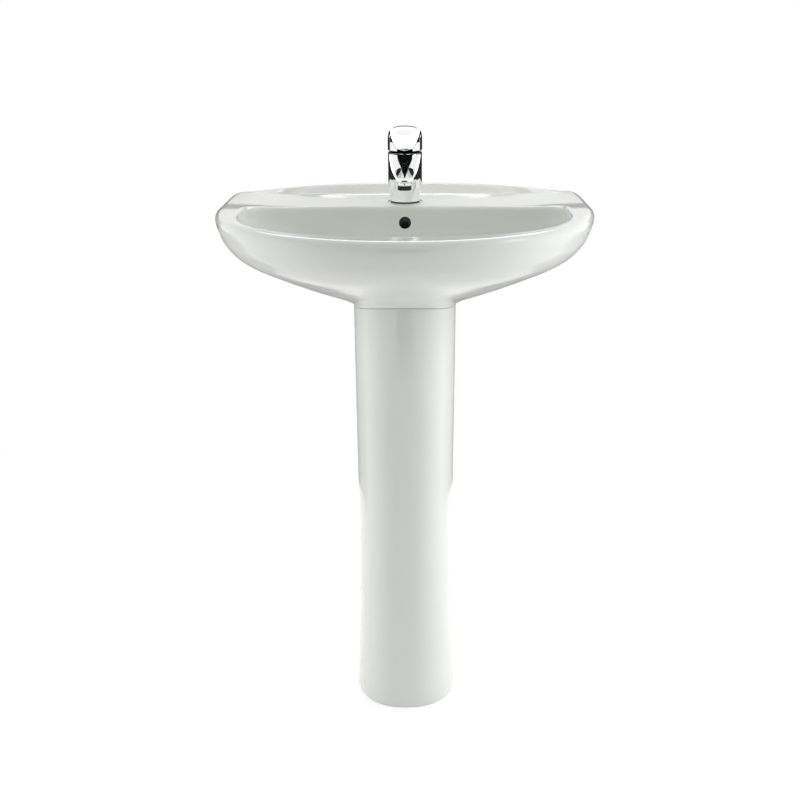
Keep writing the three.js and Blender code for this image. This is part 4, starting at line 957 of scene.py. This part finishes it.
def make_cap():
    """The round head: a slanting base with a soft edge, an upright wall and an arched crown."""
    counts = LEVER_COUNTS
    turn = np.linspace(0, 2 * np.pi, counts["cap"], endpoint=False)
    radius, edge = LEVER["radius"], LEVER["edge"]
    shoulder = LEVER_HIGH[2] - LEVER["shoulder_drop"]
    rings = []

    def ring_at(r, z, slant):
        x, y = r * np.cos(turn), r * np.sin(turn)
        base = lerp(LEVER_LOW[2], lever_bottom(y), slant)
        rings.append(np.column_stack([x, y + TAP_Y, z + base - LEVER_LOW[2]]))

    ring_at(CAP_SHARES["first"] * radius, LEVER_LOW[2], 1)
    for angle in quarter(counts["edge"]):
        ring_at(radius - edge * (1 - math.sin(angle)), LEVER_LOW[2] + edge * (1 - math.cos(angle)), 1)
    for share in np.linspace(CAP_SHARES["wall"], 1, counts["wall"]):
        ring_at(radius, lerp(LEVER_LOW[2] + edge, shoulder, share), 1 - share)
    for out, up in spline(CROWN_SHARES, counts["crown"])[1:-1]:
        ring_at(radius * out, lerp(shoulder, LEVER_HIGH[2], up), 0)
    ring_at(CAP_SHARES["last"] * radius, LEVER_HIGH[2], 0)
    return loft("lever_cap", rings)


def hollow_half(forward):
    left = (LEVER["hollow_end"] - forward) / (LEVER["hollow_end"] - LEVER["hollow_start"])
    return LEVER["hollow_half"] * max(left, 0)


def lever_top(forward):
    root = LEVER_HIGH[2] - LEVER["root_drop"]
    return lerp(root, TAP_TOP + LEVER["tip_top"], forward / LEVER_REACH)


def hollow_roof(forward):
    return min(LEVER_MOUTH + LEVER["hollow_depth"], lever_top(forward) - LEVER["plate"])


def make_tongue():
    """The plate that the hand lifts: a flat sloping top, upright sides and a keel below."""
    low, top_edge, side_edge = LEVER_MOUTH, LEVER["top_edge"], LEVER["side_edge"]
    radii = [LEVER["keel_edge"], LEVER["keel_edge"], side_edge, top_edge, top_edge, side_edge]
    rings = []

    def station(forward, half, inset):
        high = lever_top(forward)
        keel = hollow_half(forward) + LEVER["keel_lip"]
        side = max(half - inset, keel)
        flank = min(max(side - keel, LEVER["flank"]), high - low - LEVER["plate"])
        bottom, flank, high = low + inset, low + flank + inset / 2, high - inset
        right = [(keel, bottom), (side, flank), (side, high)]
        left = [(-x, z) for x, z in right]
        rings.append(section([left[0], *right, left[2], left[1]], radii, forward))

    for along, narrowing in spline(LEVER_SHARES, LEVER_COUNTS["tongue"]):
        half = lerp(LEVER["root_half"], LEVER["tip_half"], narrowing)
        station(along * (LEVER_REACH - top_edge), half, 0)
    for angle in quarter(LEVER_COUNTS["tip"])[1:]:
        station(LEVER_REACH - top_edge * (1 - math.sin(angle)), half, top_edge * (1 - math.cos(angle)))
    return loft("lever_tongue", rings)


def tongue_hollow():
    """The cast hollow under the plate, three-cornered with its point at the tip."""
    low, tip = LEVER_MOUTH - PAST, LEVER["hollow_end"] - LEVER["hollow_tip"]
    rings = []
    for forward in np.linspace(LEVER["hollow_start"], tip, LEVER_COUNTS["hollow"]):
        half, roof = hollow_half(forward), hollow_roof(forward)
        corners = [(-half, low), (half, low), (half, roof), (-half, roof)]
        rings.append([(x, TAP_Y - forward, z) for x, z in corners])
    return loft("tongue_hollow", rings)


def hollow_rib(name):
    """A rib of the casting between the roof of the hollow and just above its mouth."""
    (left, near), (right, far) = LEVER[name]
    low = LEVER_MOUTH + LEVER["rib_drop"]
    return block(name, (left, TAP_Y - far, low), (right, TAP_Y - near, low + LEVER["hollow_depth"]))


def tilted(obj, angle):
    """Turns a solid made about the pivot by an angle about X, and sets it at the pivot."""
    return move(obj, (0, TAP_Y, PIVOT), angle)


def ball(name, radius):
    angles = np.linspace(-math.pi / 2, math.pi / 2, LEVER_COUNTS["ball"] + 1)
    points = [(radius * math.cos(a), radius * math.sin(a)) for a in angles]
    points[0], points[-1] = (0, -radius), (0, radius)
    return turned(name, points)


def in_hollow(centre, normal):
    """The hollow but for the ribs' lower faces, the space round the dome and the cap's lower edge, painted
    near black: the hollow's inside is unplated casting, but its near-black tone, like that of the joint and
    the edge, is painted shade.
    """
    forward, reach = TAP_Y - centre.y, PAINT["reach"]
    level = LEVER_MOUTH + PAINT["over_edge"] < centre.z < hollow_roof(forward) + reach
    under_plate = level and abs(centre.x) < hollow_half(forward) + reach
    if under_plate and normal.z < PAINT["rib_facing"]:
        if centre.z < LEVER_MOUTH + PAINT["rib_drops"] * LEVER["rib_drop"]:
            return False
    from_pivot = Vector((centre.x, centre.y - TAP_Y, centre.z - PIVOT)).length
    in_joint = from_pivot < DOME["radius"] + DOME["clear"] + PAINT["over_joint"]
    low_edge = centre.z < lever_bottom(centre.y - TAP_Y) + LEVER["edge"]
    shaded_edge = low_edge and abs(forward) < LEVER["radius"]
    past_start = forward > LEVER["hollow_start"] - PAINT["before_hollow"]
    return (under_plate and past_start) or in_joint or shaded_edge


def make_lever():
    lever = join(make_cap(), make_tongue())
    cut(lever, tilted(ball("dome_space", DOME["radius"] + DOME["clear"]), 0))
    rise = TAP_TOP - PIVOT + DOME["clear"]
    span = TAP["radius"] + DOME["clear"]
    for i in range(1, LIFT_STEPS + 1):
        below = cylinder("swing_space", span, -span, rise)
        cut(lever, tilted(below, LIFT * i / LIFT_STEPS))
    cut(lever, tongue_hollow())
    for name in ("rib", "bar"):
        join(lever, hollow_rib(name))
    side, high = LEVER["socket"], LEVER["socket_top"]
    cut(lever, tilted(block("stem_socket", (-side, -side, 0), (side, side, high)), LEAN))
    start = LEVER["plug_start"]
    bore = cylinder("screw_bore", LEVER["plug_bore"], start, start + LEVER["plug_length"],
                    sides=LEVER_COUNTS["bore"])
    laid(bore, (0, 0, LEVER["screw_height"]))
    cut(lever, tilted(bore, LEAN))
    finish(lever, "chrome", "mixer_lever", "lever_handle")
    # The hollow, the faces round the dome and the cap's lower edge are painted near black: painted shade.
    paint(lever, "casting_and_painted_shade", in_hollow)


def make_dome():
    outer, inner = DOME["radius"], DOME["radius"] - DOME["wall"]
    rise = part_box("cartridge_dome")[0][2] - PIVOT
    mouth = math.acos(DOME["mouth"] / outer)
    outside = np.linspace(math.asin(rise / outer), mouth, DOME_COUNTS["arc"])
    inside = np.linspace(mouth, math.asin(rise / inner), DOME_COUNTS["arc"])
    points = [(outer * math.cos(a), outer * math.sin(a)) for a in outside]
    points += [(inner * math.cos(a), inner * math.sin(a)) for a in inside]
    dome = tilted(turned("mixer_dome", points, sides=DOME_COUNTS["round"]), 0)
    finish(dome, "chrome", "sink", "cartridge_dome")
    joint = LEVER_LOW[2] + LEVER["bottom_rise"]
    # The dome below the lever's edge is painted near-black metal: painted shade inside the joint.
    paint(dome, "painted_shade_metal", lambda centre, normal: centre.z < joint)


def make_base_seal():
    low, high, outer = SEAL_LOW[2], SEAL_HIGH[2], SEAL_HIGH[0]
    points = [(SEAL["bore"], low), (outer, low), (outer, high), (SEAL["bore"], high)]
    seal = turned("mixer_foot_seal", points, SEAL["edge"], DOME_COUNTS["round"])
    finish(move(seal, (0, TAP_Y, 0)), "rubber", "sink", "tap_base_seal")


def make_camera():
    data = bpy.data.cameras.new("camera")
    camera = bpy.data.objects.new("camera", data)
    scene.collection.objects.link(camera)
    turn, distance = math.radians(CAMERA["turn_degrees"]), CAMERA["distance"]
    camera.location = (distance * math.sin(turn), -distance * math.cos(turn), CAMERA["height"])
    tilt = Matrix.Rotation(math.radians(90 - CAMERA["pitch_degrees"]), 3, "X")
    roll = Matrix.Rotation(math.radians(CAMERA["roll_degrees"]), 3, "Z")
    camera.rotation_euler = (Matrix.Rotation(turn, 3, "Z") @ tilt @ roll).to_euler()
    data.sensor_width = SENSOR
    data.lens = SENSOR * CAMERA["focal_px"] / FRAME_PX
    centre_x, centre_y = CAMERA["centre_px"]
    data.shift_x = (FRAME_PX / 2 - centre_x) / FRAME_PX
    data.shift_y = (centre_y - FRAME_PX / 2) / FRAME_PX
    data.clip_end = CAMERA["clip_end"]
    scene.camera = camera


make_camera()
make_basin()
make_pedestal()
make_tap_body()
make_aerator()
make_lever()
make_dome()
make_base_seal()
# The pieces that stay as packed wear the material of their slot.
for name, obj in frame["nodes"].items():
    if not obj.hide_render:
        wear(obj, next(p["material_slot"] for p in frame["record"]["subparts"] if p["node"] == name))


# Studio

def is_seen(tree):
    """1 where a camera, glossy or transmission ray looks, 0 for light on the object."""
    path = tree.nodes.new("ShaderNodeLightPath")
    first = tree.nodes.new("ShaderNodeMath")
    first.operation = "MAXIMUM"
    second = tree.nodes.new("ShaderNodeMath")
    second.operation = "MAXIMUM"
    tree.links.new(path.outputs["Is Camera Ray"], first.inputs[0])
    tree.links.new(path.outputs["Is Glossy Ray"], first.inputs[1])
    tree.links.new(first.outputs[0], second.inputs[0])
    tree.links.new(path.outputs["Is Transmission Ray"], second.inputs[1])
    return second.outputs[0]


# Light levels of the studio: 1 shows white.
LEVEL = {"horizon": 0.26, "zenith": 0.62, "floor_seen": 0.5, "floor_glow": 0.6}
SHADOW_REACH = {"start": 0.5, "end": 1.6}
FLOOR = {"half": 20, "thickness": 0.01, "grey": 0.86}
MATT = 0.9
CARD_STEPS = 24
LAMPS = {
    "top_softbox": {"place": (0.0, 1.7, 2.5), "target": (0, 0, 0.8), "size": (2.4, 0.5), "watts": 16},
    "left_softbox": {"place": (-2.2, 0.2, 1.2), "target": (0, 0, 0.6), "size": (1.6, 2.0), "watts": 30},
    "right_softbox": {"place": (2.2, 0.1, 1.2), "target": (0, 0, 0.6), "size": (1.6, 2.0), "watts": 39},
    "rim_softbox": {"place": (1.6, -0.5, 2.1), "target": (0.2, -0.2, 0.85), "size": (0.6, 0.6), "watts": 4},
    "low_softbox": {"place": (0, -1.4, 0.1), "target": (0, 0, 0.75), "size": (1.8, 0.6), "watts": 2.3},
}
MIRRORED_LAMPS = ("top_softbox", "rim_softbox")
# Cards round the tap that only gloss and chrome show. Their turns are degrees from straight back.
CARDS = {
    "black_card": {"distance": 0.8, "turn": (-62, 62), "height": (0.66, 0.94), "grey": 0.01},
    "crown_card": {"distance": 0.3, "turn": (-75, 75), "height": (0.955, 1.05), "grey": 0.01},
    "grey_card": {"distance": 0.82, "turn": (-80, 80), "height": (0.0, 0.66), "grey": 0.3},
    "front_card": {"distance": 2.3, "turn": (169, 191), "height": (0.0, 1.3), "grey": 0.01},
}


def make_world():
    world = bpy.data.worlds.new("studio")
    scene.world = world
    world.use_nodes = True
    tree = world.node_tree
    tree.nodes.clear()
    output = tree.nodes.new("ShaderNodeOutputWorld")
    lit = tree.nodes.new("ShaderNodeBackground")
    lit.inputs["Color"].default_value = (1, 1, 1, 1)
    place = tree.nodes.new("ShaderNodeTexCoord")
    height = tree.nodes.new("ShaderNodeSeparateXYZ")
    level = tree.nodes.new("ShaderNodeMapRange")
    level.inputs["To Min"].default_value = LEVEL["horizon"]
    level.inputs["To Max"].default_value = LEVEL["zenith"]
    tree.links.new(place.outputs["Generated"], height.inputs[0])
    tree.links.new(height.outputs["Z"], level.inputs["Value"])
    tree.links.new(level.outputs["Result"], lit.inputs["Strength"])
    white = tree.nodes.new("ShaderNodeBackground")
    white.inputs["Color"].default_value = (1, 1, 1, 1)
    white.inputs["Strength"].default_value = 1.0
    mix = tree.nodes.new("ShaderNodeMixShader")
    tree.links.new(is_seen(tree), mix.inputs["Fac"])
    tree.links.new(lit.outputs[0], mix.inputs[1])
    tree.links.new(white.outputs[0], mix.inputs[2])
    tree.links.new(mix.outputs[0], output.inputs["Surface"])


def make_floor():
    half = FLOOR["half"]
    floor = block("studio_floor", (-half, -half, -FLOOR["thickness"]), (half, half, 0))
    material, tree, principled = shader("floor", (FLOOR["grey"],) * 3, MATT)
    principled.inputs["Specular IOR Level"].default_value = 0.0
    seen = tree.nodes.new("ShaderNodeBsdfDiffuse")
    seen.inputs["Color"].default_value = (LEVEL["floor_seen"],) * 3 + (1,)
    glow = tree.nodes.new("ShaderNodeEmission")
    glow.inputs["Strength"].default_value = LEVEL["floor_glow"]
    add = tree.nodes.new("ShaderNodeAddShader")
    mix = tree.nodes.new("ShaderNodeMixShader")
    output = tree.nodes["Material Output"]
    tree.links.new(seen.outputs[0], add.inputs[0])
    tree.links.new(glow.outputs[0], add.inputs[1])
    tree.links.new(is_seen(tree), mix.inputs["Fac"])
    tree.links.new(principled.outputs[0], mix.inputs[1])
    tree.links.new(mix.outputs[0], output.inputs["Surface"])
    # Far from the object, where no shadow falls, the floor is as white as the backdrop.
    place = tree.nodes.new("ShaderNodeTexCoord")
    distance = tree.nodes.new("ShaderNodeVectorMath")
    distance.operation = "LENGTH"
    reach = tree.nodes.new("ShaderNodeMapRange")
    reach.interpolation_type = "SMOOTHSTEP"
    reach.inputs["From Min"].default_value = SHADOW_REACH["start"]
    reach.inputs["From Max"].default_value = SHADOW_REACH["end"]
    white = tree.nodes.new("ShaderNodeEmission")
    spread = tree.nodes.new("ShaderNodeMixShader")
    tree.links.new(place.outputs["Object"], distance.inputs[0])
    tree.links.new(distance.outputs["Value"], reach.inputs["Value"])
    tree.links.new(reach.outputs["Result"], spread.inputs["Fac"])
    tree.links.new(add.outputs[0], spread.inputs[1])
    tree.links.new(white.outputs[0], spread.inputs[2])
    tree.links.new(spread.outputs[0], mix.inputs[2])
    floor.data.materials.append(material)


def make_lamp(name, place, target, size, watts):
    data = bpy.data.lights.new(name, "AREA")
    data.shape = "RECTANGLE"
    data.size, data.size_y = size
    data.energy = watts
    lamp = bpy.data.objects.new(name, data)
    scene.collection.objects.link(lamp)
    lamp.location = place
    lamp.rotation_euler = (Vector(target) - Vector(place)).to_track_quat("-Z", "Y").to_euler()
    lamp.visible_glossy = name in MIRRORED_LAMPS


def make_card(name, distance, turn, height, grey):
    """A curved upright sheet round the tap that casts no shadow and shows only in gloss."""
    points, faces = [], []
    for i in range(CARD_STEPS + 1):
        angle = math.radians(lerp(turn[0], turn[1], i / CARD_STEPS))
        x, y = distance * math.sin(angle), TAP_Y + distance * math.cos(angle)
        points += [(x, y, height[0]), (x, y, height[1])]
    for i in range(CARD_STEPS):
        faces.append((2 * i, 2 * i + 2, 2 * i + 3, 2 * i + 1))
    card = from_faces(name, points, faces)
    card.data.materials.append(shader(name, (grey,) * 3, MATT)[0])
    card.visible_camera = False
    card.visible_diffuse = False
    card.visible_shadow = False


make_world()
make_floor()
for name, lamp in LAMPS.items():
    make_lamp(name, **lamp)
for name, card in CARDS.items():
    make_card(name, **card)
scene.view_settings.view_transform = "Standard"
